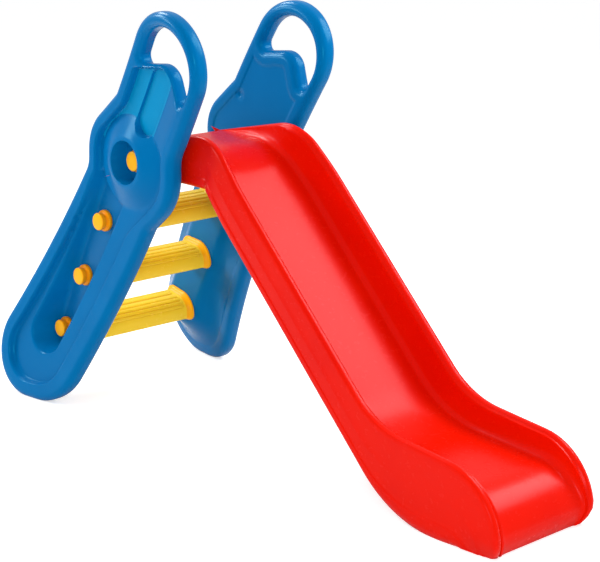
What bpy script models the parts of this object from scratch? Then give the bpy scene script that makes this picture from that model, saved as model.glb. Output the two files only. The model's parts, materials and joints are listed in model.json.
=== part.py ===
"""Folding garden slide for small children.

Two mirrored hollow side panels lean over three ribbed steps and carry a one-piece chute on an
axle, so that the ladder swings under the chute to store the slide. Units are metres, +Z is up,
+X is the way a child slides. Everything is modelled with the axle at x = 0 and is centred at
the end, so that the model stands on z = 0 about its own middle.
"""

import math

import bmesh
import bpy
from mathutils import Matrix, Vector

# Side panels
PANEL_THICKNESS = 0.054
PANEL_EDGE_RADIUS = 0.0205
LEAN = math.radians(32.0)
AXLE_HEIGHT = 0.760
HEAD_ALONG = 0.3375
HEAD_ACROSS = 0.009
HEAD_RADIUS = 0.149
HEAD_FRONT = 0.1445
HANDLE_WIDTH = 0.043
HANDLE_WIDTH_FRONT = 0.0335
HUMP_RISE = 0.293
HUMP_SLOPE = 0.09
HUMP_RADIUS = 0.058
HUMP_RUN = 0.110
HUMP_FLANK_RUN = 0.036
HUMP_FLANK_DROP = 0.117
OPENING_TIP_RADIUS = 0.010
BULGE_REAR = 0.187
BULGE_FRONT = 0.197
BULGE_RADIUS = 0.13
SHOULDER_X = -0.060
SHOULDER_RISE = 0.179
SHOULDER_SLOPE = 0.78
CHIN_TURN = math.radians(50.0)
KNEE_RADIUS = 0.060
KNEE_FRONT_RADIUS = 0.035
NECK_REAR_RADIUS = 0.030
NECK_FRONT_RADIUS = 0.080
CHIN_RADIUS = 0.170
OPENING_REAR_RADIUS = 0.018
ROUND_END_FLAT = 0.0005
LEG_REAR_SLOPE = 0.648
LEG_REAR_AT_AXLE = -0.16812
LEG_FRONT_SLOPE = 0.580
LEG_FRONT_AT_AXLE = 0.1945
HEEL_RADIUS = 0.148
FOOT_FRONT_RADIUS = 0.170
FOOT_FLAT = 0.003
BOW_GAP = 0.2103
BOW_RADIUS = 3.6657
BOW_START = -0.105

# Recesses in the outer face
RIM_WIDTH = 0.040
RIM_WIDTH_LEG_REAR = 0.048
RIM_WIDTH_LEG_FRONT = 0.063
RIM_WIDTH_FOOT = 0.049
RIM_WIDTH_HUMP = 0.017
RECESS_DEPTH = 0.025
FLOOR_FILLET = 0.006

# Web that carries the steps: the legs splay, the web stays nearly upright
WEB_GAP = 0.1865
WEB_SPLAY = 0.0365
WEB_THICKNESS = 0.009
TROUGH_HALF_WIDTH = 0.068
TROUGH_DRAFT = 0.38
TROUGH_TOP = 0.190
ISLAND_HALF_WIDTH = 0.072
ISLAND_DRAFT = 0.20
ISLAND_ROOT = 0.012
BOSS_RADIUS = 0.134
BOSS_TOP_RADIUS = 0.074
AXLE_POCKET_RADIUS = 0.060
AXLE_POCKET_DEPTH = 0.040
PAD_LENGTH = 0.205
PAD_WIDTH = 0.081
PAD_ALONG = 0.2025
PAD_ACROSS = -0.0017
PAD_DROP = 0.007
DIMPLE_RADIUS = 0.012
DIMPLE_DEPTH = 0.0025
DIMPLE_ALONG = 0.117
DIMPLE_ACROSS = -0.090

# Steps
STEP_NAMES = ("step_top", "step_middle", "step_bottom")
STEP_FIRST_X = -0.152
STEP_FIRST_DROP = 0.196
STEP_RUN = -0.0995
STEP_RISE = -0.181
STEP_DROPS = (0.008, 0.009, 0.013)
STEP_TILTS = (0.0, 0.0, 6.0)
STEP_DEPTH = 0.114
STEP_HEIGHT = 0.060
STEP_CORNER = 0.020
RIDGE_COUNT = 5
RIDGE_HEIGHT = 0.0022
FLANGE_MARGIN = 0.013
FLANGE_THICKNESS = 0.006
FLARE_LENGTH = 0.022
TENON_RADIUS = 0.014
TENON_REACH = 0.018

# Caps on the tenons and on the axle
CAP_BASE_RADIUS = 0.0315
CAP_HEAD_RADIUS = 0.0255
CAP_HEIGHT = 0.033
AXLE_CAP_HEAD_RADIUS = 0.0285
AXLE_CAP_HEIGHT = 0.027
CAP_WAIST = 0.004
CAP_BASE_SHARE = 0.34
SOCKET_END_ROOM = 0.001

# Axle
AXLE_RADIUS = 0.011
AXLE_REACH = 0.018

# Chute
CHUTE_WALL = 0.0045
CHUTE_HALF_SEAT = 0.172
CHUTE_HALF_SLOPE = 0.1885
CHUTE_HALF_TOE = 0.186
FLARE_START_X = 0.262
FLARE_END_X = 0.430
BED_INSET = 0.036
BED_FILLET = 0.024
RIM_ROLL = 0.009
FILLET_SHARE = 0.45
PLATFORM_RISE = 0.044
PLATFORM_SAG = 0.002
PLATFORM_REAR = -0.098
PLATFORM_REAR_RADIUS = 0.075
CHUTE_REAR = -0.112
SKIRT_DROP = 0.044
BED_CREST_X = 0.217
BED_CREST_RADIUS = 0.22
SLOPE = 0.980
BED_LANDING_HEIGHT = 0.1587
BED_LANDING_RADIUS = 0.33
RUNOUT_SLOPE = 0.055
RUNOUT_LENGTH = 0.4495
NOSE_RADIUS = 0.085
NOSE_FOOT_REACH = 0.027
RIM_REAR_RISE = 0.032
RIM_REAR_RADIUS = 0.045
RIM_REAR_INSET = 0.002
RIM_CREST_X = 0.285
RIM_CREST_RISE = 0.110
RIM_CREST_RADIUS = 0.16
RIM_LANDING_HEIGHT = 0.2281
RIM_LANDING_RADIUS = 0.26
RIM_NOSE_REACH = 0.037
RIM_NOSE_HEIGHT = 0.193
RIM_NOSE_RADIUS = 0.180
RIM_FOOT_REACH = 0.032
SKIRT_CORNER_X = 0.271
SKIRT_CORNER_RADIUS = 0.02
SKIRT_SLOPE = 0.97415
SKIRT_REAR_REACH = 0.030
SKIRT_REAR_RADIUS = 0.040
SKIRT_LANDING_RADIUS = 0.34
SKIRT_TOE_INSET = 0.025
TOE_JOINT_REACH = 0.06
TOE_JOINT_RADIUS = 0.020
HUB_RADIUS = 0.030
HUB_INNER = 0.138

# Clearances
SEAT_GAP = 0.0003
FIT_GAP = 0.0004
RUNNING_GAP = 0.0006
CUT_MARGIN = 0.010
WELD = 0.00005

# Mesh detail
ARC_STEP = math.radians(16.0)
ROUND_SIDES = 24
TENON_SIDES = 16
CAP_SIDES = 18
BEVEL_STEPS = 2
FLOOR_STEPS = 1
BOW_STATION = 0.120
CHUTE_ARC_STEPS = 5
CHUTE_LINE_STEPS = 2

AXIS = Vector((math.sin(LEAN), math.cos(LEAN)))
FRONT = Vector((math.cos(LEAN), -math.sin(LEAN)))
PIVOT = Vector((0.0, AXLE_HEIGHT))


def clear_scene():
    for item in list(bpy.data.objects):
        bpy.data.objects.remove(item, do_unlink=True)


def make_material(name, colour, roughness, metallic=0.0):
    material = bpy.data.materials.new(name)
    material.use_nodes = True
    shader = material.node_tree.nodes["Principled BSDF"]
    shader.inputs["Base Color"].default_value = (*colour, 1.0)
    shader.inputs["Roughness"].default_value = roughness
    shader.inputs["Metallic"].default_value = metallic
    return material


def make_collection(name):
    collection = bpy.data.collections.new(name)
    bpy.context.scene.collection.children.link(collection)
    return collection


def panel_point(across, along):
    """Point of the side view at a place measured from the axle, across and along the lean."""
    return PIVOT + FRONT * across + AXIS * along


def bow(x, z):
    """Distance from the middle plane to a panel's mid surface at one place of the side view."""
    down = -(Vector((x, z)) - PIVOT).dot(AXIS)
    first = math.floor(down / BOW_STATION) * BOW_STATION
    share = (down - first) / BOW_STATION
    ends = [BOW_GAP + (s - BOW_START) ** 2 / (2.0 * BOW_RADIUS)
            for s in (first, first + BOW_STATION)]
    return ends[0] + (ends[1] - ends[0]) * share


def line_crossing(a, b, c, d):
    """Where the line through a and b meets the line through c and d."""
    first = b - a
    second = d - c
    t = (c - a).cross(second) / first.cross(second)
    return a + first * t


def rounded(corners):
    """Closed outline through corners (point, radius), each turned into an arc."""
    points = []
    count = len(corners)
    for i, (corner, radius) in enumerate(corners):
        before = (corners[i - 1][0] - corner).normalized()
        after = (corners[(i + 1) % count][0] - corner).normalized()
        points.extend(corner_arc(corner, before, after, radius))
    return points


def corner_arc(corner, before, after, radius, steps=None):
    """Arc that rounds one corner between the directions to its neighbours."""
    opening = before.angle(after)
    turn = math.pi - opening
    reach = radius / math.tan(opening / 2.0)
    bisector = (before + after).normalized()
    centre = corner + bisector * (radius / math.sin(opening / 2.0))
    start = corner + before * reach - centre
    side = 1.0 if before.cross(after) < 0.0 else -1.0
    count = steps or max(2, math.ceil(turn / ARC_STEP))
    arc = []
    for i in range(count + 1):
        angle = side * turn * i / count
        arc.append(centre + Matrix.Rotation(angle, 2) @ start)
    return arc


def inset(corners, distances):
    """Corners moved inward, each edge (from its corner to the next) by its own distance."""
    count = len(corners)
    area = sum(corners[i][0].cross(corners[(i + 1) % count][0]) for i in range(count))
    side = 1.0 if area > 0.0 else -1.0
    lines = []
    for i, distance in enumerate(distances):
        start = corners[i][0]
        end = corners[(i + 1) % count][0]
        normal = (end - start).normalized().orthogonal() * side
        lines.append((start + normal * distance, end + normal * distance))
    result = []
    for i, (corner, radius) in enumerate(corners):
        moved = line_crossing(*lines[i - 1], *lines[i])
        before = corner - corners[i - 1][0]
        after = corners[(i + 1) % count][0] - corner
        convex = before.cross(after) * side > 0.0
        distance = min(distances[i - 1], distances[i])
        grown = radius - distance if convex else radius + distance
        result.append((moved, max(grown, 0.012)))
    return result


def link(obj, collection, material=None):
    collection.objects.link(obj)
    if material is not None:
        obj.data.materials.clear()
        obj.data.materials.append(material)
    return obj


def slab(outlines, low, high, edge_radius, steps):
    """Flat plate between y = low and y = high with the given side-view outlines."""
    curve = bpy.data.curves.new("outline", "CURVE")
    curve.dimensions = "2D"
    curve.fill_mode = "BOTH"
    curve.extrude = (high - low) / 2.0 - edge_radius
    curve.bevel_depth = edge_radius
    curve.bevel_resolution = steps - 1
    curve.offset = -edge_radius
    for outline in outlines:
        spline = curve.splines.new("POLY")
        spline.points.add(len(outline) - 1)
        for point, place in zip(spline.points, outline):
            point.co = (place[0], place[1], 0.0, 1.0)
        spline.use_cyclic_u = True
    holder = bpy.data.objects.new("outline", curve)
    holder.rotation_euler = (math.radians(90.0), 0.0, 0.0)
    holder.location = (0.0, (low + high) / 2.0, 0.0)
    bpy.context.scene.collection.objects.link(holder)
    bpy.context.view_layer.update()
    graph = bpy.context.evaluated_depsgraph_get()
    mesh = bpy.data.meshes.new_from_object(holder.evaluated_get(graph))
    mesh.transform(holder.matrix_world)
    bpy.data.objects.remove(holder, do_unlink=True)
    clean(mesh)
    return mesh


def turned(profile, sides=ROUND_SIDES):
    """Solid of revolution about Y from (radius, y) pairs that run from the axis to the axis."""
    mesh = bpy.data.meshes.new("profile")
    edges = [(i, i + 1) for i in range(len(profile) - 1)]
    mesh.from_pydata([(radius, y, 0.0) for radius, y in profile], edges, [])
    holder = bpy.data.objects.new("profile", mesh)
    bpy.context.scene.collection.objects.link(holder)
    screw = holder.modifiers.new("turn", "SCREW")
    screw.axis = "Y"
    screw.steps = sides
    screw.render_steps = sides
    screw.use_merge_vertices = True
    screw.merge_threshold = 0.00001
    result = settle(holder)
    bpy.data.objects.remove(holder, do_unlink=True)
    clean(result)
    return result


def rod(radius, low, high, sides=ROUND_SIDES):
    """Round bar along Y."""
    mesh = bpy.data.meshes.new("rod")
    bar = bmesh.new()
    bmesh.ops.create_cone(bar, cap_ends=True, segments=sides, radius1=radius, radius2=radius,
                          depth=high - low)
    bar.to_mesh(mesh)
    bar.free()
    mesh.transform(Matrix.Rotation(math.radians(90.0), 4, "X"))
    mesh.transform(Matrix.Translation((0.0, (low + high) / 2.0, 0.0)))
    return mesh


def clean(mesh):
    """Weld coincident points, close pin-hole slits and turn every face outward."""
    body = bmesh.new()
    body.from_mesh(mesh)
    bmesh.ops.remove_doubles(body, verts=body.verts, dist=WELD)
    bmesh.ops.dissolve_degenerate(body, edges=body.edges, dist=WELD)
    slits = [edge for edge in body.edges if edge.is_boundary]
    bmesh.ops.holes_fill(body, edges=slits, sides=4)
    bmesh.ops.recalc_face_normals(body, faces=body.faces)
    body.to_mesh(mesh)
    body.free()


def moved(mesh, x, z):
    mesh.transform(Matrix.Translation((x, 0.0, z)))
    return mesh


def cutter(mesh, name, cutters):
    obj = bpy.data.objects.new(name, mesh)
    cutters.objects.link(obj)
    obj.hide_render = True
    obj.display_type = "WIRE"
    return obj


def combine(target, mesh, operation, cutters):
    """Join a mesh to an object or cut it away; the tool stays in the cutters' collection."""
    helper = cutter(mesh, target.name + "_" + operation.lower(), cutters)
    modifier = target.modifiers.new(helper.name, "BOOLEAN")
    modifier.operation = operation
    modifier.solver = "EXACT"
    modifier.object = helper
    clean(settle(target))
    return helper


def settle(obj):
    """Turn an object's evaluated shape into its own mesh."""
    bpy.context.view_layer.update()
    graph = bpy.context.evaluated_depsgraph_get()
    mesh = bpy.data.meshes.new_from_object(obj.evaluated_get(graph))
    obj.modifiers.clear()
    obj.data = mesh
    return mesh


def split_at_stations(body, low=-1.0):
    """Cut the faces above y = low where the bowed panel's flats meet."""
    count = math.ceil(1.2 / BOW_STATION)
    for i in range(-count, count + 1):
        place = PIVOT - AXIS * (i * BOW_STATION)
        geometry = set()
        for face in body.faces:
            if all(vert.co.y > low for vert in face.verts):
                geometry.add(face)
                geometry.update(face.edges)
                geometry.update(face.verts)
        bmesh.ops.bisect_plane(body, geom=list(geometry), dist=0.00001,
                               plane_co=(place.x, 0.0, place.y), plane_no=(AXIS.x, 0.0, AXIS.y))


def bend_to_panel(mesh, side, stations=True):
    """Shift a flat mesh sideways so that it follows the bowed panel of one side."""
    shell = bmesh.new()
    shell.from_mesh(mesh)
    if stations:
        split_at_stations(shell)
    for vert in shell.verts:
        vert.co.y = (vert.co.y + bow(vert.co.x, vert.co.z)) * side
    if side < 0.0:
        bmesh.ops.reverse_faces(shell, faces=shell.faces)
    shell.to_mesh(mesh)
    shell.free()


def smooth(obj):
    obj.data.shade_smooth()
    obj.data.set_sharp_from_angle(angle=math.radians(35.0))


def side_of_leg(slope, at_axle, height):
    return Vector((at_axle + slope * (height - AXLE_HEIGHT), height))


def panel_corners():
    """Corners of the panel, of its handle opening and of its body below the opening."""
    heel = side_of_leg(LEG_REAR_SLOPE, LEG_REAR_AT_AXLE, -FOOT_FLAT)
    toe = side_of_leg(LEG_FRONT_SLOPE, LEG_FRONT_AT_AXLE, -FOOT_FLAT)
    head = panel_point(HEAD_ACROSS, HEAD_ALONG)
    rear_side = head - FRONT * HEAD_RADIUS
    front_side = head + FRONT * HEAD_FRONT
    rear_wall = Vector((-BULGE_REAR, AXLE_HEIGHT))
    front_wall = Vector((BULGE_FRONT, AXLE_HEIGHT))
    up = Vector((0.0, 1.0))
    leg_rear = line_crossing(rear_wall, rear_wall + up, heel, heel + Vector((LEG_REAR_SLOPE, 1.0)))
    shoulder_dir = Vector((1.0, SHOULDER_SLOPE))
    shoulder = Vector((SHOULDER_X, AXLE_HEIGHT + SHOULDER_RISE))
    bulge_top = line_crossing(rear_wall, rear_wall + up, shoulder, shoulder + shoulder_dir)
    neck_rear = line_crossing(rear_side, rear_side + AXIS, shoulder, shoulder + shoulder_dir)
    neck_front = line_crossing(front_side, front_side + AXIS, front_wall, front_wall + up)
    chin = Vector((math.cos(CHIN_TURN), -math.sin(CHIN_TURN)))
    chin_point = PIVOT + chin * BULGE_FRONT
    chin_dir = Vector((-chin.y, chin.x))
    bulge_low = line_crossing(front_wall, front_wall + up, chin_point, chin_point + chin_dir)
    leg_dir = Vector((LEG_FRONT_SLOPE, 1.0))
    leg_front = line_crossing(toe, toe + leg_dir, chin_point, chin_point + chin_dir)
    top = head + AXIS * HEAD_RADIUS
    outline = [
        (heel, HEEL_RADIUS),
        (leg_rear, KNEE_RADIUS),
        (bulge_top, BULGE_RADIUS),
        (neck_rear, NECK_REAR_RADIUS),
        (top - FRONT * HEAD_RADIUS, HEAD_RADIUS - ROUND_END_FLAT),
        (top + FRONT * HEAD_FRONT, HEAD_FRONT - ROUND_END_FLAT),
        (neck_front, NECK_FRONT_RADIUS),
        (bulge_low, CHIN_RADIUS),
        (leg_front, KNEE_FRONT_RADIUS),
        (toe, FOOT_FRONT_RADIUS),
    ]
    grip = HEAD_RADIUS - HANDLE_WIDTH
    inner_top = head + AXIS * grip
    inner_rear = head - FRONT * grip
    grip_front = HEAD_FRONT - HANDLE_WIDTH_FRONT
    inner_front = head + FRONT * grip_front
    hump = Vector((inner_rear.x + HUMP_RUN, AXLE_HEIGHT + HUMP_RISE))
    hump_rear = hump - Vector((1.0, HUMP_SLOPE))
    hump_tip = hump + Vector((HUMP_FLANK_RUN, -HUMP_FLANK_DROP))
    rear_low = line_crossing(inner_rear, inner_rear + AXIS, hump, hump_rear)
    tip = line_crossing(inner_front, inner_front + AXIS, hump, hump_tip)
    opening = [
        (rear_low, OPENING_REAR_RADIUS),
        (inner_top - FRONT * grip, grip - ROUND_END_FLAT),
        (inner_top + FRONT * grip_front, grip - ROUND_END_FLAT),
        (tip, OPENING_TIP_RADIUS),
        (hump, HUMP_RADIUS),
    ]
    body = [
        (heel, HEEL_RADIUS),
        (leg_rear, KNEE_RADIUS),
        (bulge_top, BULGE_RADIUS),
        (neck_rear, NECK_REAR_RADIUS),
        (line_crossing(rear_side, rear_side + AXIS, hump, hump_rear), OPENING_REAR_RADIUS),
        (hump, HUMP_RADIUS),
        (line_crossing(front_side, front_side + AXIS, hump, hump_tip), OPENING_REAR_RADIUS),
        (neck_front, NECK_FRONT_RADIUS),
        (bulge_low, CHIN_RADIUS),
        (leg_front, KNEE_FRONT_RADIUS),
        (toe, FOOT_FRONT_RADIUS),
    ]
    return outline, opening, body


def web(x, z):
    """Distance from the middle plane to the web's inner face, where the steps are seated."""
    down = -(Vector((x, z)) - PIVOT).dot(AXIS)
    return WEB_GAP + WEB_SPLAY * down


def stepped_outline(half_width):
    """Long round-ended outline round the step axes, as (point, inward direction) pairs."""
    low = Vector(step_place(len(STEP_NAMES) - 1))
    high = Vector(step_place(0))
    along = (high - low).normalized()
    across = Vector((along.y, -along.x))
    points = []
    turns = math.ceil(math.pi / ARC_STEP)
    for centre, start in ((low, 0.0), (high + along * (TROUGH_TOP - half_width), math.pi)):
        for i in range(turns + 1):
            angle = start - math.pi * i / turns
            outward = across * math.cos(angle) + along * math.sin(angle)
            points.append((centre + outward * half_width, -outward))
    return points


def trough_mesh(side):
    """Deep tapered trough from the recess down to the web, cut from outside."""
    half = PANEL_THICKNESS / 2.0
    rings = [[], [], []]
    for point, inward in stepped_outline(TROUGH_HALF_WIDTH):
        top = bow(point.x, point.y) + half - RECESS_DEPTH + 0.001
        depth = top - web(point.x, point.y) - WEB_THICKNESS
        floor = point + inward * (depth * TROUGH_DRAFT)
        rings[0].append((floor.x, web(floor.x, floor.y) + WEB_THICKNESS, floor.y))
        rings[1].append((point.x, top, point.y))
        rings[2].append((point.x, BOW_GAP * 2.0, point.y))
    return loft(rings, side)


def island_mesh(side):
    """Tapered pad on the inner face that brings the web in to the steps."""
    half = PANEL_THICKNESS / 2.0
    rings = [[], []]
    for point, inward in stepped_outline(ISLAND_HALF_WIDTH):
        root = bow(point.x, point.y) - half + ISLAND_ROOT
        height = max(root - web(point.x, point.y), 0.0)
        face = point + inward * (height * ISLAND_DRAFT)
        rings[0].append((point.x, root, point.y))
        rings[1].append((face.x, web(face.x, face.y), face.y))
    return loft(rings, side)


def loft(rings, side):
    """Closed solid through rings of matching points, capped at both ends."""
    mesh = bpy.data.meshes.new("loft")
    body = bmesh.new()
    loops = [[body.verts.new((x, y * side, z)) for x, y, z in ring] for ring in rings]
    count = len(loops[0])
    for low, high in zip(loops, loops[1:]):
        for i in range(count):
            j = (i + 1) % count
            body.faces.new((low[i], low[j], high[j], high[i]))
    body.faces.new(loops[0])
    body.faces.new(loops[-1])
    bmesh.ops.recalc_face_normals(body, faces=body.faces)
    body.to_mesh(mesh)
    body.free()
    return mesh


def stadium(centre, length, width):
    half = width / 2.0
    reach = length / 2.0
    corners = []
    for along, across in ((-1, -1), (1, -1), (1, 1), (-1, 1)):
        corners.append((centre + AXIS * (along * reach) + FRONT * (across * half), half - ROUND_END_FLAT))
    return corners


def step_place(index):
    return STEP_FIRST_X + STEP_RUN * index, AXLE_HEIGHT - STEP_FIRST_DROP + STEP_RISE * index


def build_panel(name, side, parts, cutters, material):
    """Hollow-moulded side panel with its recess, trough, axle boss, pad and handle opening."""
    outline, opening, body = panel_corners()
    half = PANEL_THICKNESS / 2.0
    outer = half + CUT_MARGIN
    plate = slab([rounded(outline), rounded(opening)], -half, half, PANEL_EDGE_RADIUS, BEVEL_STEPS)
    panel = link(bpy.data.objects.new(name, plate), parts, material)
    rims = [RIM_WIDTH_LEG_REAR, RIM_WIDTH, RIM_WIDTH, RIM_WIDTH, RIM_WIDTH_HUMP, RIM_WIDTH_HUMP,
            RIM_WIDTH, RIM_WIDTH, RIM_WIDTH, RIM_WIDTH_LEG_FRONT, RIM_WIDTH_FOOT]
    floor = half - RECESS_DEPTH
    recess = cutter(slab([rounded(inset(body, rims))], floor, outer, FLOOR_FILLET, FLOOR_STEPS),
                    name + "_recess", cutters)
    boss = turned([(0.0, floor - CUT_MARGIN), (BOSS_RADIUS, floor - CUT_MARGIN),
                   (BOSS_RADIUS, floor), (BOSS_TOP_RADIUS, half - 0.001), (0.0, half - 0.001)])
    combine(recess, moved(boss, 0.0, AXLE_HEIGHT), "DIFFERENCE", cutters)
    pad_outline = rounded(stadium(panel_point(PAD_ACROSS, PAD_ALONG), PAD_LENGTH, PAD_WIDTH))
    pad = slab([pad_outline], floor - PAD_DROP, outer + 0.001, FLOOR_FILLET / 2.0, FLOOR_STEPS)
    combine(recess, pad, "UNION", cutters)
    pocket = rod(AXLE_POCKET_RADIUS, half - AXLE_POCKET_DEPTH, outer + 0.002)
    combine(recess, moved(pocket, 0.0, AXLE_HEIGHT), "UNION", cutters)
    combine(panel, recess.data.copy(), "DIFFERENCE", cutters)
    bpy.data.objects.remove(recess, do_unlink=True)
    axle_hole = rod(AXLE_RADIUS + FIT_GAP, -outer, outer)
    combine(panel, moved(axle_hole, 0.0, AXLE_HEIGHT), "DIFFERENCE", cutters)
    dimple_at = panel_point(DIMPLE_ACROSS, DIMPLE_ALONG)
    dimple = rod(DIMPLE_RADIUS, -outer, -half + DIMPLE_DEPTH, TENON_SIDES)
    combine(panel, moved(dimple, dimple_at.x, dimple_at.y), "DIFFERENCE", cutters)
    bend_to_panel(panel.data, side)
    combine(panel, island_mesh(side), "UNION", cutters)
    trough = cutter(trough_mesh(side), name + "_trough", cutters)
    low, high = sorted((WEB_GAP * 0.5 * side, BOW_GAP * 2.5 * side))
    boss_room = moved(rod(BOSS_RADIUS, low, high), 0.0, AXLE_HEIGHT)
    combine(trough, boss_room, "DIFFERENCE", cutters)
    combine(panel, trough.data.copy(), "DIFFERENCE", cutters)
    bpy.data.objects.remove(trough, do_unlink=True)
    for index in range(len(STEP_NAMES)):
        x, z = step_place(index)
        low, high = sorted((web(x, z) * 0.5 * side, bow(x, z) * 1.5 * side))
        hole = rod(TENON_RADIUS + FIT_GAP, low, high, TENON_SIDES)
        combine(panel, moved(hole, x, z), "DIFFERENCE", cutters)
    combine(panel, ground_block(), "DIFFERENCE", cutters)
    smooth(panel)
    return panel


def ground_block():
    """Everything below the ground, for flat soles."""
    mesh = bpy.data.meshes.new("ground")
    block = bmesh.new()
    place = Matrix.Translation((0.0, 0.0, -0.5)) @ Matrix.Diagonal((4.0, 4.0, 1.0, 1.0))
    bmesh.ops.create_cube(block, size=1.0, matrix=place)
    block.to_mesh(mesh)
    block.free()
    return mesh


def step_ring(margin, ridge):
    """Closed section of a step about its centre: level ribbed top, rounded nose and back."""
    half = STEP_DEPTH / 2.0 + margin
    low = -STEP_HEIGHT / 2.0 - margin
    high = STEP_HEIGHT / 2.0 + margin
    radius = STEP_CORNER + margin
    corners = [(-half, low), (-half, high), (half, high), (half, low)]
    arcs = []
    for i, corner in enumerate(corners):
        here = Vector(corner)
        before = (Vector(corners[i - 1]) - here).normalized()
        after = (Vector(corners[(i + 1) % 4]) - here).normalized()
        arcs.append(corner_arc(here, before, after, radius, steps=3))
    ring = arcs[0] + arcs[1]
    span = half - radius
    total = RIDGE_COUNT * 2
    for i in range(1, total):
        x = -span + 2.0 * span * i / total
        ring.append(Vector((x, high + ridge * (i % 2))))
    return ring + arcs[2] + arcs[3]


def build_step(name, index, parts, cutters, material):
    """Ribbed tread with a flared collar at each end and a tenon through each panel's web."""
    x, z = step_place(index)
    seat = web(x, z)
    flare = seat - FLANGE_THICKNESS
    rings = [
        (FLANGE_MARGIN, 0.0, seat),
        (FLANGE_MARGIN, 0.0, flare),
        (FLANGE_MARGIN * 0.45, 0.0, flare - FLARE_LENGTH * 0.3),
        (FLANGE_MARGIN * 0.12, 0.0, flare - FLARE_LENGTH * 0.65),
        (0.0, 0.0, flare - FLARE_LENGTH),
        (0.0, RIDGE_HEIGHT, flare - FLARE_LENGTH * 1.5),
        (0.0, RIDGE_HEIGHT, 0.0),
    ]
    tilt = Matrix.Rotation(math.radians(-STEP_TILTS[index]), 2)
    tread = bmesh.new()
    loops = []
    for margin, ridge, y in rings:
        loop = []
        for point in step_ring(margin, ridge):
            px, pz = Vector((x, z - STEP_DROPS[index])) + tilt @ point
            on_seat = y > flare - 0.0001
            lean = web(px, pz) - seat - SEAT_GAP if on_seat else 0.0
            loop.append(tread.verts.new((px, y + lean, pz)))
        loops.append(loop)
    count = len(loops[0])
    for low, high in zip(loops, loops[1:]):
        for i in range(count):
            j = (i + 1) % count
            tread.faces.new((low[i], low[j], high[j], high[i]))
    tread.faces.new(loops[0])
    bmesh.ops.recalc_face_normals(tread, faces=tread.faces)
    mesh = bpy.data.meshes.new(name)
    tread.to_mesh(mesh)
    tread.free()
    step = link(bpy.data.objects.new(name, mesh), parts, material)
    mirror = step.modifiers.new("mirror", "MIRROR")
    mirror.use_axis = (False, True, False)
    mirror.merge_threshold = 0.0001
    clean(settle(step))
    reach = seat + WEB_THICKNESS + TENON_REACH
    bar = moved(rod(TENON_RADIUS, -reach, reach, TENON_SIDES), x, z)
    combine(step, bar, "UNION", cutters)
    smooth(step)
    return step


def cap_profile(bore, depth, head_radius, height):
    """Turned spool with a wide base, a waist, a domed head and a blind bore for its pin."""
    base = height * CAP_BASE_SHARE
    return [
        (0.0, depth),
        (bore, depth),
        (bore, SEAT_GAP),
        (CAP_BASE_RADIUS, SEAT_GAP),
        (CAP_BASE_RADIUS, base * 0.7),
        (CAP_BASE_RADIUS - 0.003, base),
        (head_radius - CAP_WAIST, base + 0.004),
        (head_radius, base + 0.009),
        (head_radius, height - 0.005),
        (head_radius - 0.005, height - 0.001),
        (0.0, height),
    ]


def build_cap(name, place, surface, offset, profile, side, parts, material):
    """Cap seated on one of a panel's surfaces, which it follows."""
    x, z = place
    mesh = moved(turned(profile, CAP_SIDES), x, z)
    for vert in mesh.vertices:
        vert.co.y = (vert.co.y + surface(vert.co.x, vert.co.z) + offset) * side
    clean(mesh)
    cap = link(bpy.data.objects.new(name, mesh), parts, material)
    smooth(cap)
    return cap


def side_curve(corners):
    """Open side-view curve sampled with the same count of points whatever its radii."""
    points = [corners[0][0]]
    arcs = []
    for i in range(1, len(corners) - 1):
        corner, radius = corners[i]
        before = (corners[i - 1][0] - corner).normalized()
        after = (corners[i + 1][0] - corner).normalized()
        if before.angle(after) > math.pi - 0.001:
            spread = radius
            steps = CHUTE_ARC_STEPS
            arcs.append([corner + after * (spread * (2.0 * k / steps - 1.0))
                         for k in range(steps + 1)])
        else:
            arcs.append(corner_arc(corner, before, after, radius, steps=CHUTE_ARC_STEPS))
    for arc in arcs:
        start = points[-1]
        for k in range(1, CHUTE_LINE_STEPS):
            points.append(start.lerp(arc[0], k / CHUTE_LINE_STEPS))
        points.extend(arc)
    start = points[-1]
    end = corners[-1][0]
    for k in range(1, CHUTE_LINE_STEPS + 1):
        points.append(start.lerp(end, k / CHUTE_LINE_STEPS))
    return points


def nose_corner():
    """Upper corner of the chute's nose, where the run-out ends."""
    landing = bed_landing()
    return landing + Vector((1.0, -RUNOUT_SLOPE)) * RUNOUT_LENGTH


def bed_landing():
    """Where the bed's slope would meet its run-out without the curve between them."""
    fall = AXLE_HEIGHT + PLATFORM_RISE - BED_LANDING_HEIGHT
    return Vector((BED_CREST_X + fall / SLOPE, BED_LANDING_HEIGHT))


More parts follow.
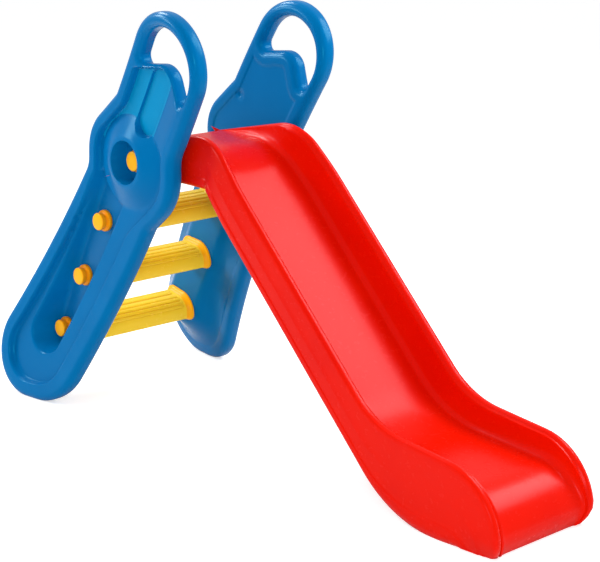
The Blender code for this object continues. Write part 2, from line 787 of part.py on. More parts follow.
def chute_curves():
    """Side views of the bed, of the rim and of the skirt's lower edge, point for point."""
    platform = AXLE_HEIGHT + PLATFORM_RISE
    underside = AXLE_HEIGHT - SKIRT_DROP
    nose = nose_corner()
    bed = side_curve([
        (Vector((CHUTE_REAR, underside)), 0.0),
        (Vector((PLATFORM_REAR, platform - PLATFORM_SAG)), PLATFORM_REAR_RADIUS),
        (Vector((BED_CREST_X, platform)), BED_CREST_RADIUS),
        (bed_landing(), BED_LANDING_RADIUS),
        (nose, NOSE_RADIUS),
        (Vector((nose.x + NOSE_FOOT_REACH, 0.0)), 0.0),
    ])
    rim_crest = Vector((RIM_CREST_X, AXLE_HEIGHT + RIM_CREST_RISE))
    rim_fall = rim_crest.y - RIM_LANDING_HEIGHT
    rim = side_curve([
        (Vector((CHUTE_REAR + RIM_REAR_INSET, underside)), 0.0),
        (Vector((PLATFORM_REAR, AXLE_HEIGHT + RIM_REAR_RISE)), RIM_REAR_RADIUS),
        (rim_crest, RIM_CREST_RADIUS),
        (Vector((rim_crest.x + rim_fall / SLOPE, RIM_LANDING_HEIGHT)), RIM_LANDING_RADIUS),
        (Vector((nose.x + RIM_NOSE_REACH, RIM_NOSE_HEIGHT)), RIM_NOSE_RADIUS),
        (Vector((nose.x + RIM_FOOT_REACH, 0.0)), 0.0),
    ])
    skirt_landing = SKIRT_CORNER_X + underside / SKIRT_SLOPE
    toe = nose.x - SKIRT_TOE_INSET
    skirt = side_curve([
        (Vector((CHUTE_REAR + SKIRT_REAR_REACH, underside)), 0.0),
        (Vector((0.0, underside)), SKIRT_REAR_RADIUS),
        (Vector((SKIRT_CORNER_X, underside)), SKIRT_CORNER_RADIUS),
        (Vector((skirt_landing, 0.0)), SKIRT_LANDING_RADIUS),
        (Vector(((skirt_landing + toe) / 2.0 + TOE_JOINT_REACH, 0.0)), TOE_JOINT_RADIUS),
        (Vector((toe, 0.0)), 0.0),
    ])
    return bed, rim, skirt


def chute_half_width(x):
    """Narrow between the panels, then flared to the full width of the slope and the toe."""
    if x < FLARE_END_X:
        share = min(max((x - FLARE_START_X) / (FLARE_END_X - FLARE_START_X), 0.0), 1.0)
        share = share * share * (3.0 - 2.0 * share)
        return CHUTE_HALF_SEAT + (CHUTE_HALF_SLOPE - CHUTE_HALF_SEAT) * share
    share = min((x - FLARE_END_X) / (nose_corner().x + RIM_FOOT_REACH - FLARE_END_X), 1.0)
    return CHUTE_HALF_SLOPE + (CHUTE_HALF_TOE - CHUTE_HALF_SLOPE) * share


def chute_section(bed, rim, skirt):
    """Half section of the chute at one station, from the middle of the bed to the skirt."""
    width = chute_half_width(rim.x)
    rise = rim - bed
    bed_edge = width - BED_INSET
    lift = min(BED_FILLET / max(rise.length, 1e-4), FILLET_SHARE)
    places = [(0.0, bed), (bed_edge * 0.5, bed), (bed_edge - BED_FILLET, bed)]
    for angle in (35.0, 65.0):
        a = math.radians(angle)
        y = bed_edge - BED_FILLET + BED_FILLET * math.sin(a)
        places.append((y, bed + rise * (lift * (1.0 - math.cos(a)))))
    inner = width - 2.2 * RIM_ROLL
    places.append((bed_edge + (inner - bed_edge) * 0.25, bed + rise * max(lift, 0.35)))
    places.append((inner - 0.002, bed + rise * 0.86))
    drop = (skirt - rim).normalized()
    for angle in (150.0, 110.0, 70.0, 30.0):
        a = math.radians(angle)
        y = width - 0.002 - RIM_ROLL + RIM_ROLL * math.cos(a)
        places.append((y, rim + drop * (RIM_ROLL * (1.0 - math.sin(a)))))
    fall = skirt - rim
    for y, share_down in ((-0.001, 0.36), (0.0, 0.66), (0.001, 0.80), (0.004, 0.84),
                          (0.004, 1.0)):
        places.append((width + y - 0.004, rim + fall * share_down))
    return places


def build_chute(parts, cutters, material):
    """One-piece thin-walled chute with rolled rims, boot-shaped toe and pivot hubs."""
    mesh = bpy.data.meshes.new("chute")
    shell = bmesh.new()
    rows = []
    for bed, rim, skirt in zip(*chute_curves()):
        row = []
        for y, place in chute_section(bed, rim, skirt):
            row.append(shell.verts.new((place.x, y, place.y)))
        rows.append(row)
    for low, high in zip(rows, rows[1:]):
        for i in range(len(low) - 1):
            shell.faces.new((low[i], high[i], high[i + 1], low[i + 1]))
    shell.to_mesh(mesh)
    shell.free()
    chute = link(bpy.data.objects.new("chute", mesh), parts, material)
    mirror = chute.modifiers.new("mirror", "MIRROR")
    mirror.use_axis = (False, True, False)
    mirror.merge_threshold = 0.0001
    solidify = chute.modifiers.new("wall", "SOLIDIFY")
    solidify.thickness = CHUTE_WALL
    solidify.offset = -1.0
    solidify.use_even_offset = True
    settle(chute)
    hub_outer = min(bow(x, z) for x, z in hub_edge()) - PANEL_THICKNESS / 2.0 - RUNNING_GAP
    for side in (-1.0, 1.0):
        low, high = sorted((HUB_INNER * side, hub_outer * side))
        combine(chute, moved(rod(HUB_RADIUS, low, high), 0.0, AXLE_HEIGHT), "UNION", cutters)
    bore = moved(rod(AXLE_RADIUS + FIT_GAP, -hub_outer - CUT_MARGIN, hub_outer + CUT_MARGIN),
                 0.0, AXLE_HEIGHT)
    combine(chute, bore, "DIFFERENCE", cutters)
    combine(chute, ground_block(), "DIFFERENCE", cutters)
    smooth(chute)
    return chute


def hub_edge():
    """Places around the rim of a pivot hub in the side view."""
    for i in range(ROUND_SIDES):
        angle = 2.0 * math.pi * i / ROUND_SIDES
        yield HUB_RADIUS * math.cos(angle), AXLE_HEIGHT + HUB_RADIUS * math.sin(angle)


def build_axle(parts, material):
    reach = bow(0.0, AXLE_HEIGHT) + PANEL_THICKNESS / 2.0 - AXLE_POCKET_DEPTH + AXLE_REACH
    axle = bpy.data.objects.new("axle_rod", moved(rod(AXLE_RADIUS, -reach, reach), 0.0, AXLE_HEIGHT))
    link(axle, parts, material)
    smooth(axle)
    return axle


def put_origin(obj, place):
    """Move an object's origin without moving its shape."""
    obj.data.transform(Matrix.Translation(-place))
    obj.location = place


def centre_model(parts, empties):
    """Move the whole model so that its box stands on z = 0 about the origin."""
    bpy.context.view_layer.update()
    corners = [obj.matrix_world @ vert.co for obj in parts.objects if obj.type == "MESH"
               for vert in obj.data.vertices]
    low = [min(c[i] for c in corners) for i in range(3)]
    high = [max(c[i] for c in corners) for i in range(3)]
    shift = Vector((-(low[0] + high[0]) / 2.0, -(low[1] + high[1]) / 2.0, -low[2]))
    for obj in list(parts.objects) + empties:
        if obj.parent is None:
            obj.location += shift


def main():
    clear_scene()
    parts = make_collection("kids_slide")
    cutters = make_collection("cutters")
    blue = make_material("blue_plastic", (0.0, 0.15, 0.47), 0.32)
    yellow = make_material("yellow_plastic", (1.0, 0.55, 0.02), 0.35)
    red = make_material("red_plastic", (0.86, 0.012, 0.0), 0.25)
    steel = make_material("zinc_steel", (0.55, 0.56, 0.58), 0.4, 1.0)
    build_panel("side_panel_left", 1.0, parts, cutters, blue)
    build_panel("side_panel_right", -1.0, parts, cutters, blue)
    for index, name in enumerate(STEP_NAMES):
        build_step(name, index, parts, cutters, yellow)
        profile = cap_profile(TENON_RADIUS + FIT_GAP, TENON_REACH + SOCKET_END_ROOM,
                              CAP_HEAD_RADIUS, CAP_HEIGHT)
        for side, label in ((1.0, "left"), (-1.0, "right")):
            build_cap(f"{name}_cap_{label}", step_place(index), web, WEB_THICKNESS, profile, side,
                      parts, yellow)
    build_axle(parts, steel)
    floor = PANEL_THICKNESS / 2.0 - AXLE_POCKET_DEPTH
    profile = cap_profile(AXLE_RADIUS + FIT_GAP, AXLE_REACH + SOCKET_END_ROOM,
                          AXLE_CAP_HEAD_RADIUS, AXLE_CAP_HEIGHT)
    for side, label in ((1.0, "left"), (-1.0, "right")):
        build_cap(f"axle_cap_{label}", (0.0, AXLE_HEIGHT), bow, floor, profile, side, parts, yellow)
    chute = build_chute(parts, cutters, red)
    put_origin(chute, Vector((0.0, 0.0, AXLE_HEIGHT)))
    centre_model(parts, [])


main()
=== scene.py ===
"""Looks of a folding garden slide for small children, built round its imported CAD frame.

Two blow-moulded blue side panels lean over three ribbed yellow steps and carry a red one-piece
chute on a zinc axle under yellow caps. Everything is modelled with the axle at x = 0 and moved to
the frame's pivot when a piece is made. Units are metres, +Z is up and +X is the way a child slides.
"""

from __future__ import annotations

import json
import logging
import math
from dataclasses import dataclass, field
from enum import Enum
from itertools import accumulate
from typing import Callable, Sequence

import bmesh
import bpy
import numpy as np
from mathutils import Matrix, Vector
from mathutils.geometry import delaunay_2d_cdt
from mathutils.kdtree import KDTree


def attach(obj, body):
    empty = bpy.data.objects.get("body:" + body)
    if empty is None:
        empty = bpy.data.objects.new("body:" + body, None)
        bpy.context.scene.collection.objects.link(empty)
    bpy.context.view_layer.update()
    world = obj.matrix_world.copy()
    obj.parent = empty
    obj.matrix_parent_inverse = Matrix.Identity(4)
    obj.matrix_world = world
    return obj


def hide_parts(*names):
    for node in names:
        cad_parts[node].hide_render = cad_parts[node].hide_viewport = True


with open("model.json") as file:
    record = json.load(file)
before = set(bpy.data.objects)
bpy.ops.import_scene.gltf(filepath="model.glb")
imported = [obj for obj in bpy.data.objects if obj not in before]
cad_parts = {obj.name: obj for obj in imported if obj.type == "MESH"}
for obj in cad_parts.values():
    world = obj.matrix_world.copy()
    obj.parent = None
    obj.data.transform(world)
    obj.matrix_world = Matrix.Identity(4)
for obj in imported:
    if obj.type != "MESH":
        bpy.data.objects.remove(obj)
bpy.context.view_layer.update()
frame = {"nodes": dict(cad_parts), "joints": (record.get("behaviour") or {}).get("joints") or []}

LOG = logging.getLogger("slide")
PIVOT = Vector(frame["joints"][0]["pos_m"])
AXLE_HEIGHT = PIVOT.z
LEAN = math.radians(32.0)
ALONG = np.array([math.sin(LEAN), math.cos(LEAN)])
ACROSS = np.array([math.cos(LEAN), -math.sin(LEAN)])
AXLE_POINT = np.array([0.0, AXLE_HEIGHT])

AXLE_BORE = 0.0114
TENON_BORE = 0.0144
SEAT_GAP = 0.0003
ROUND_END_GAP = 0.0005
SHARP_ANGLE = 50.0

Triple = tuple[float, float, float]
Corner = tuple[np.ndarray, float]
Piece = bpy.types.Object
Material = bpy.types.Material
Node = bpy.types.Node
Socket = bpy.types.NodeSocket
Rings = Sequence[tuple[np.ndarray, Sequence[float]]]
HeightField = Callable[[np.ndarray], np.ndarray]
FaceHeight = Callable[[np.ndarray, np.ndarray], np.ndarray]


class Named(Enum):
    """Choice whose name is part of node and piece names."""

    @property
    def label(self) -> str:
        """Word used in node and piece names."""
        return self.name.lower()


class Side(Named):
    """Which side panel, by the sign of its place on the Y axis."""

    LEFT = 1.0
    RIGHT = -1.0


class Body(Enum):
    """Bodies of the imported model."""

    LADDER = "ladder"
    CHUTE = "chute"


class StepLevel(Named):
    """The three steps from the top down."""

    TOP = 0
    MIDDLE = 1
    BOTTOM = 2


def unit(vector: np.ndarray) -> np.ndarray:
    """Vector of length one along the given one."""
    return vector / np.linalg.norm(vector)


def cross(a: np.ndarray, b: np.ndarray) -> float:
    """Cross product of two plane vectors."""
    return float(a[0] * b[1] - a[1] * b[0])


def lean_point(across: float, along: float) -> np.ndarray:
    """Point of the side view measured from the axle, across and along the panel's lean."""
    return AXLE_POINT + ACROSS * across + ALONG * along


def crossing(a: np.ndarray, a_way: np.ndarray, b: np.ndarray, b_way: np.ndarray) -> np.ndarray:
    """Point where two lines meet.

    Args:
        a: A point of the first line.
        a_way: Its direction.
        b: A point of the second line.
        b_way: Its direction.

    Returns:
        The common point.
    """
    return a + a_way * (cross(b - a, b_way) / cross(a_way, b_way))


def corner_arc(corner: np.ndarray, before: np.ndarray, after: np.ndarray, radius: float,
               steps: int) -> np.ndarray:
    """Arc that rounds a corner.

    Args:
        corner: The sharp corner.
        before: Unit direction to the corner before it.
        after: Unit direction to the corner after it.
        radius: Radius of the arc.
        steps: Count of chords.

    Returns:
        Points from the first tangent point to the last.
    """
    opening = math.acos(float(np.clip(before @ after, -1.0, 1.0)))
    turn = math.pi - opening
    centre = corner + unit(before + after) * (radius / math.sin(opening / 2.0))
    start = corner + before * (radius / math.tan(opening / 2.0)) - centre
    way = 1.0 if cross(before, after) < 0.0 else -1.0
    angles = way * turn * np.linspace(0.0, 1.0, steps + 1)
    cosines, sines = np.cos(angles), np.sin(angles)
    return centre + np.stack([start[0] * cosines - start[1] * sines,
                              start[0] * sines + start[1] * cosines], axis=1)


def spread(start: np.ndarray, end: np.ndarray, count: int) -> np.ndarray:
    """Points strictly between two ends, evenly placed."""
    shares = np.linspace(0.0, 1.0, count + 2)[1:-1, None]
    return start + (end - start) * shares


def rounded(corners: Sequence[Corner], spacing: float = 0.005) -> np.ndarray:
    """Closed outline through corners that are each turned into an arc.

    Args:
        corners: Corner points with their radii, in order.
        spacing: Longest chord along lines and wide arcs.

    Returns:
        Points of the loop, in order.
    """
    arcs = []
    count = len(corners)
    for i, (corner, radius) in enumerate(corners):
        before = unit(corners[i - 1][0] - corner)
        after = unit(corners[(i + 1) % count][0] - corner)
        turn = math.pi - math.acos(float(np.clip(before @ after, -1.0, 1.0)))
        steps = max(4, math.ceil(turn / math.radians(8.0)), math.ceil(turn * radius / spacing))
        arcs.append(corner_arc(corner, before, after, radius, steps))
    points = []
    for i, arc in enumerate(arcs):
        following = arcs[(i + 1) % count][0]
        gap = float(np.linalg.norm(following - arc[-1]))
        points.append(arc)
        points.append(spread(arc[-1], following, max(0, math.ceil(gap / spacing) - 1)))
    loop = np.concatenate(points)
    away = np.linalg.norm(loop - np.roll(loop, 1, axis=0), axis=1)
    return loop[away > 1e-5]


def circle(centre: np.ndarray, radius: float, count: int) -> np.ndarray:
    """Closed loop of points round a centre."""
    angles = np.linspace(0.0, 2.0 * math.pi, count, endpoint=False)
    return centre + radius * np.stack([np.cos(angles), np.sin(angles)], axis=1)


def winding(loop: np.ndarray) -> float:
    """1 for a loop that runs anticlockwise in the side view, -1 for one that runs the other way."""
    ahead = np.roll(loop, -1, axis=0)
    return 1.0 if float((loop[:, 0] * ahead[:, 1] - loop[:, 1] * ahead[:, 0]).sum()) > 0.0 else -1.0


def in_plane(flat: np.ndarray, y: float | np.ndarray) -> np.ndarray:
    """Side-view points set at the given distance from the middle plane."""
    return np.stack([flat[:, 0], np.zeros(len(flat)) + y, flat[:, 1]], axis=1)


def inset(corners: Sequence[Corner], distances: Sequence[float]) -> list[Corner]:
    """Corners moved inward, each edge by its own distance.

    Args:
        corners: Corner points with their radii, in order.
        distances: Distance for the edge from each corner to the next.

    Returns:
        The moved corners with radii that keep the rim's width even.
    """
    count = len(corners)
    side = winding(np.array([corner for corner, _ in corners]))
    lines = []
    for i, distance in enumerate(distances):
        way = unit(corners[(i + 1) % count][0] - corners[i][0])
        normal = np.array([-way[1], way[0]]) * side
        lines.append((corners[i][0] + normal * distance, way))
    result = []
    for i, (corner, radius) in enumerate(corners):
        moved = crossing(*lines[i - 1], *lines[i])
        convex = cross(corner - corners[i - 1][0], corners[(i + 1) % count][0] - corner) * side > 0
        distance = min(distances[i - 1], distances[i])
        result.append((moved, max(radius - distance if convex else radius + distance, 0.012)))
    return result


def inside_distance(points: np.ndarray, loop: np.ndarray) -> np.ndarray:
    """Distance to a closed loop, positive inside it.

    Args:
        points: Places, one per row.
        loop: The loop's points, in order.

    Returns:
        One distance per place.
    """
    result = np.empty(len(points))
    rows = 4096
    starts, ends = loop, np.roll(loop, -1, axis=0)
    ways = ends - starts
    lengths = (ways ** 2).sum(axis=1)
    for first in range(0, len(points), rows):
        block = points[first:first + rows]
        rel = block[:, None, :] - starts[None]
        share = np.clip((rel * ways).sum(axis=2) / lengths, 0.0, 1.0)
        gap = np.linalg.norm(rel - ways * share[..., None], axis=2).min(axis=1)
        crosses = (starts[:, 1] > block[:, 1:2]) != (ends[:, 1] > block[:, 1:2])
        with np.errstate(divide="ignore", invalid="ignore"):
            at = starts[:, 0] + (block[:, 1:2] - starts[:, 1]) / ways[:, 1] * ways[:, 0]
        inside = (crosses & (block[:, 0:1] < at)).sum(axis=1) % 2 == 1
        result[first:first + rows] = np.where(inside, gap, -gap)
    return result


def soft_min(a: np.ndarray, b: np.ndarray, reach: float) -> np.ndarray:
    """Lower of two heights, with a fillet of about the given reach where they cross."""
    blend = np.maximum(reach - np.abs(a - b), 0.0) / reach
    return np.minimum(a, b) - blend * blend * reach * 0.25


def soft_max(a: np.ndarray, b: np.ndarray, reach: float) -> np.ndarray:
    """Higher of two heights, with a fillet of about the given reach where they cross."""
    return -soft_min(-a, -b, reach)


def ease(value: np.ndarray | float, low: float, high: float) -> np.ndarray:
    """Smooth step from 0 at low to 1 at high."""
    share = np.clip((value - low) / (high - low), 0.0, 1.0)
    return share * share * (3.0 - 2.0 * share)


def offset_loop(loop: np.ndarray, distance: float) -> np.ndarray:
    """Moves a loop towards its inside, point by point along its own normals.

    Args:
        loop: The loop's points, in order.
        distance: How far, below zero for a move outward.

    Returns:
        The moved points.
    """
    ways = np.roll(loop, -1, axis=0) - np.roll(loop, 1, axis=0)
    normals = np.stack([-ways[:, 1], ways[:, 0]], axis=1) * winding(loop)
    normals /= np.linalg.norm(normals, axis=1)[:, None]
    return loop + normals * distance


def smooth_rows(rows: np.ndarray, steps: int) -> np.ndarray:
    """Rows with more rows between them, on Catmull-Rom curves through the given ones.

    Args:
        rows: Array whose first axis is the order of the curve's points.
        steps: Count of spans that each gap is cut into.

    Returns:
        The finer array, with the given rows kept.
    """
    padded = np.concatenate([2.0 * rows[:1] - rows[1:2], rows, 2.0 * rows[-1:] - rows[-2:-1]])
    made = []
    for i in range(len(rows) - 1):
        a, b, c, d = padded[i:i + 4]
        for k in range(steps):
            t = k / steps
            made.append(0.5 * (2.0 * b + (c - a) * t + (2.0 * a - 5.0 * b + 4.0 * c - d) * t * t
                               + (3.0 * b - a - 3.0 * c + d) * t ** 3))
    made.append(rows[-1])
    return np.array(made)


def placed(name: str, data: bpy.types.ID) -> Piece:
    """Links a new object to the scene.

    Args:
        name: Its name.
        data: Its mesh, lamp or camera.

    Returns:
        The object.
    """
    made = bpy.data.objects.new(name, data)
    bpy.context.scene.collection.objects.link(made)
    return made


def centres(piece: Piece) -> np.ndarray:
    """Middle of each face of a piece, one per row."""
    return np.array([tuple(face.center) for face in piece.data.polygons])


class MeshMaker:
    """Collects points and faces, and turns them into one piece of the object."""

    def __init__(self) -> None:
        """Starts empty."""
        self.points: list[tuple[float, float, float]] = []
        self.faces: list[tuple[int, ...]] = []

    def add(self, points: np.ndarray) -> int:
        """Adds points.

        Args:
            points: Rows of x, y and z.

        Returns:
            Index of the first one.
        """
        first = len(self.points)
        self.points.extend(map(tuple, np.asarray(points, float)))
        return first

    def loft(self, rings: Sequence[np.ndarray], closed: bool = True, caps: bool = False) -> None:
        """Skins rings of matching points.

        Args:
            rings: The rings, in order.
            closed: Whether each ring's last point meets its first.
            caps: Whether the first and last ring are closed by a face.
        """
        firsts = [self.add(ring) for ring in rings]
        count = len(rings[0])
        for low, high in zip(firsts, firsts[1:]):
            for i in range(count if closed else count - 1):
                j = (i + 1) % count
                self.faces.append((low + i, low + j, high + j, high + i))
        if caps:
            self.faces.append(tuple(range(firsts[0] + count - 1, firsts[0] - 1, -1)))
            self.faces.append(tuple(range(firsts[-1], firsts[-1] + count)))

    def turn(self, profile: Sequence[tuple[float, float]], centre: np.ndarray, sides: int = 72,
             caps: bool = True) -> None:
        """Turns a profile about a line along Y.

        Args:
            profile: Pairs of radius and y, in order.
            centre: Side-view place of the line.
            sides: Count of points round it.
            caps: Whether the first and last ring are closed by a face.
        """
        self.loft([in_plane(circle(centre, max(radius, 1e-5), sides), y) for radius, y in profile],
                  caps=caps)

    def build(self, name: str, weld: float = 2e-5, sharp_from: float = SHARP_ANGLE) -> Piece:
        """Makes the object.

        Args:
            name: Its name.
            weld: Distance under which points become one.
            sharp_from: Angle in degrees from which an edge is sharp.

        Returns:
            The new object, linked to the scene and moved to the frame's pivot.
        """
        mesh = bpy.data.meshes.new(name)
        mesh.from_pydata(self.points, [], self.faces)
        body = bmesh.new()
        body.from_mesh(mesh)
        bmesh.ops.remove_doubles(body, verts=body.verts, dist=weld)
        bmesh.ops.dissolve_degenerate(body, edges=body.edges, dist=1e-6)
        bmesh.ops.recalc_face_normals(body, faces=body.faces)
        for vert in body.verts:
            vert.co.z = max(vert.co.z, 0.0)
        body.to_mesh(mesh)
        body.free()
        mesh.transform(Matrix.Translation((PIVOT.x, PIVOT.y, 0.0)))
        mesh.shade_smooth()
        mesh.set_sharp_from_angle(angle=math.radians(sharp_from))
        return placed(name, mesh)


def mirrored(points: np.ndarray, side: Side) -> np.ndarray:
    """Points of the left half turned to the given side."""
    return points * np.array([1.0, side.value, 1.0])


class NodeSheet:
    """Node tree of a material or of the world, with short ways to add and join nodes."""

    def __init__(self, block: Material | bpy.types.World) -> None:
        """Starts from the block's default nodes."""
        block.use_nodes = True
        self.tree = block.node_tree

    def fill(self, node: Node, values: dict[str, object]) -> Node:
        """Sets a node's inputs.

        Args:
            node: The node.
            values: A constant or another node's output for each input, by the input's name.

        Returns:
            The same node.
        """
        for name, value in values.items():
            if isinstance(value, Socket):
                self.tree.links.new(value, node.inputs[name])
            else:
                node.inputs[name].default_value = value
        return node

    def add(self, kind: str, **values: object) -> Node:
        """Adds a node of a kind and sets its inputs, with underscores for blanks in their names."""
        node = self.tree.nodes.new(f"ShaderNode{kind}")
        return self.fill(node, {name.replace("_", " "): value for name, value in values.items()})

    def show(self, camera: Socket, others: Socket, end: str) -> None:
        """Shows one shader to the camera and another to every other ray.

        Args:
            camera: Output of the shader for camera rays.
            others: Output of the shader for the rest.
            end: Name of the tree's output node.
        """
        mix = self.add("MixShader", Fac=self.add("LightPath").outputs["Is Camera Ray"])
        self.tree.links.new(others, mix.inputs[1])
        self.tree.links.new(camera, mix.inputs[2])
        self.fill(self.tree.nodes[end], {"Surface": mix.outputs["Shader"]})


@dataclass(frozen=True)
class MouldedPlastic:
    """Glossy coloured polyethylene with a soft orange-peel skin, drift in tone and light scuffs."""

    name: str
    colour: Triple
    deep: Triple
    sheen: Triple
    roughness: float = 0.26
    gloss: float = 0.20
    peel: float = 0.06
    wave: float = 0.10
    scuff: float = 0.06

    def build(self) -> Material:
        """Makes the node material.

        Returns:
            The material of this plastic.
        """
        material = bpy.data.materials.new(self.name)
        sheet = NodeSheet(material)
        place = sheet.add("TexCoord").outputs["Object"]

        def noise(scale: float, detail: float,
                  where: Socket = place) -> Socket:
            """Noise over the piece's own coordinates."""
            return sheet.add("TexNoise", Vector=where, Scale=scale, Detail=detail).outputs["Fac"]

        tone = sheet.add("ValToRGB", Fac=noise(3.5, 3.0))
        low, high = tone.color_ramp.elements
        low.position = 0.36
        low.color = (*self.deep, 1.0)
        high.position = 0.60
        high.color = (*self.colour, 1.0)
        stretch = sheet.add("Mapping", Vector=place, Scale=(1.0, 0.8, 1.3))
        worn = sheet.add("MapRange", Value=noise(60.0, 4.0, stretch.outputs["Vector"]),
                         From_Min=0.45, From_Max=0.75, To_Min=self.roughness,
                         To_Max=self.roughness + self.scuff)
        moulded = sheet.add("Bump", Height=noise(16.0, 1.0), Strength=self.wave, Distance=0.0015)
        skin = sheet.add("Bump", Height=noise(420.0, 2.0), Strength=self.peel, Distance=0.0004,
                         Normal=moulded.outputs["Normal"])
        sheet.fill(sheet.tree.nodes["Principled BSDF"], {
            "Base Color": tone.outputs["Color"],
            "Roughness": worn.outputs["Result"],
            "Specular IOR Level": self.gloss,
            "Specular Tint": (*self.sheen, 1.0),
            "Normal": skin.outputs["Normal"]})
        return material


@dataclass(frozen=True)
class ZincSteel:
    """Cold-drawn zinc-plated bar: fine lines round it and a cloudy lustre."""

    name: str = "zinc_steel_finish"
    colour: Triple = (0.62, 0.63, 0.65)
    roughness: float = 0.30

    def build(self) -> Material:
        """Makes the node material.

        Returns:
            The material of the plated bar.
        """
        material = bpy.data.materials.new(self.name)
        sheet = NodeSheet(material)
        stretch = sheet.add("Mapping", Vector=sheet.add("TexCoord").outputs["Object"],
                            Scale=(40.0, 900.0, 40.0))
        lines = sheet.add("TexNoise", Vector=stretch.outputs["Vector"], Scale=1.0, Detail=3.0)
        cloudy = sheet.add("MapRange", Value=lines.outputs["Fac"], To_Min=self.roughness - 0.08,
                           To_Max=self.roughness + 0.14)
        bump = sheet.add("Bump", Height=lines.outputs["Fac"], Strength=0.15, Distance=0.0002)
        sheet.fill(sheet.tree.nodes["Principled BSDF"], {
            "Base Color": (*self.colour, 1.0),
            "Metallic": 1.0,
            "Roughness": cloudy.outputs["Result"],
            "Normal": bump.outputs["Normal"]})
        return material


@dataclass
class Finishes:
    """The object's materials, each built once."""

    panel: Material = field(default_factory=MouldedPlastic(
        "blue_plastic_finish", (0.0, 0.150, 0.400), (0.0, 0.136, 0.370), (0.05, 0.80, 1.0),
        roughness=0.20, gloss=0.15).build)
    # Lighter copy of the panel's blue: painted light on the flat recess floor and the pad.
    panel_floor: Material = field(default_factory=MouldedPlastic(
        "blue_plastic_floor_finish", (0.0, 0.245, 0.500), (0.0, 0.230, 0.475), (0.05, 0.80, 1.0),
        roughness=0.30, gloss=0.12).build)
    tread: Material = field(default_factory=MouldedPlastic(
        "yellow_plastic_finish", (1.0, 0.710, 0.030), (0.97, 0.660, 0.022), (1.0, 0.94, 0.66),
        roughness=0.24, gloss=0.32).build)
    # Darker orange copy of the tread's yellow, painted into the grooves as their shade.
    tread_groove: Material = field(default_factory=MouldedPlastic(
        "yellow_groove_painted_shade", (0.92, 0.44, 0.005), (0.88, 0.40, 0.004), (1.0, 0.9, 0.5),
        roughness=0.34, gloss=0.12).build)
    cap_face: Material = field(default_factory=MouldedPlastic(
        "yellow_cap_face_finish", (1.0, 0.46, 0.006), (0.98, 0.42, 0.004), (1.0, 0.9, 0.6),
        roughness=0.28).build)
    # Deeper orange copy of the cap's yellow, painted on the cap's sides and foot as their shade.
    cap_painted_shade: Material = field(default_factory=MouldedPlastic(
        "yellow_cap_painted_shade", (1.0, 0.34, 0.002), (0.97, 0.30, 0.002), (1.0, 0.85, 0.5),
        roughness=0.28).build)
    chute: Material = field(default_factory=MouldedPlastic(
        "red_plastic_finish", (0.76, 0.007, 0.0), (0.72, 0.005, 0.0), (1.0, 0.42, 0.50),
        roughness=0.24, gloss=0.14).build)
    zinc: Material = field(default_factory=ZincSteel().build)


def dress(piece: Piece, body: Body, slot: str,
          *materials: Material) -> Piece:
    """Gives a piece its body and its finish.

    Args:
        piece: The piece.
        body: Body that it moves with.
        slot: Not used.
        materials: Its materials, in the order of the faces' material numbers.

    Returns:
        The same piece.
    """
    piece.data.materials.clear()
    for material in materials:
        piece.data.materials.append(material)
    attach(piece, body.value)
    LOG.info("%s: %d faces", piece.name, len(piece.data.polygons))
    return piece


@dataclass
class StepLayout:
    """Where the steps sit in the side view, and the long round-ended field round their axes."""

    first: tuple[float, float] = (-0.152, AXLE_HEIGHT - 0.196)
    run: float = -0.0995
    rise: float = -0.181
    field_top: float = 0.190

    def place(self, level: StepLevel) -> np.ndarray:
        """Side-view place of a step's axis."""
        return np.array([self.first[0] + self.run * level.value,
                         self.first[1] + self.rise * level.value])

    def field_loop(self, half_width: float) -> np.ndarray:
        """Draws a round-ended loop round the step axes.

        Args:
            half_width: Half its width.

        Returns:
            Points of the loop, in order.
        """
        low, high = self.place(StepLevel.BOTTOM), self.place(StepLevel.TOP)
        along = unit(high - low)
        across = np.array([along[1], -along[0]])
        top = high + along * (self.field_top - half_width)
        corner = half_width - ROUND_END_GAP
        corners = [(low - along * half_width + across * half_width, corner),
                   (top + along * half_width + across * half_width, corner),
                   (top + along * half_width - across * half_width, corner),
                   (low - along * half_width - across * half_width, corner)]
        return rounded(corners)


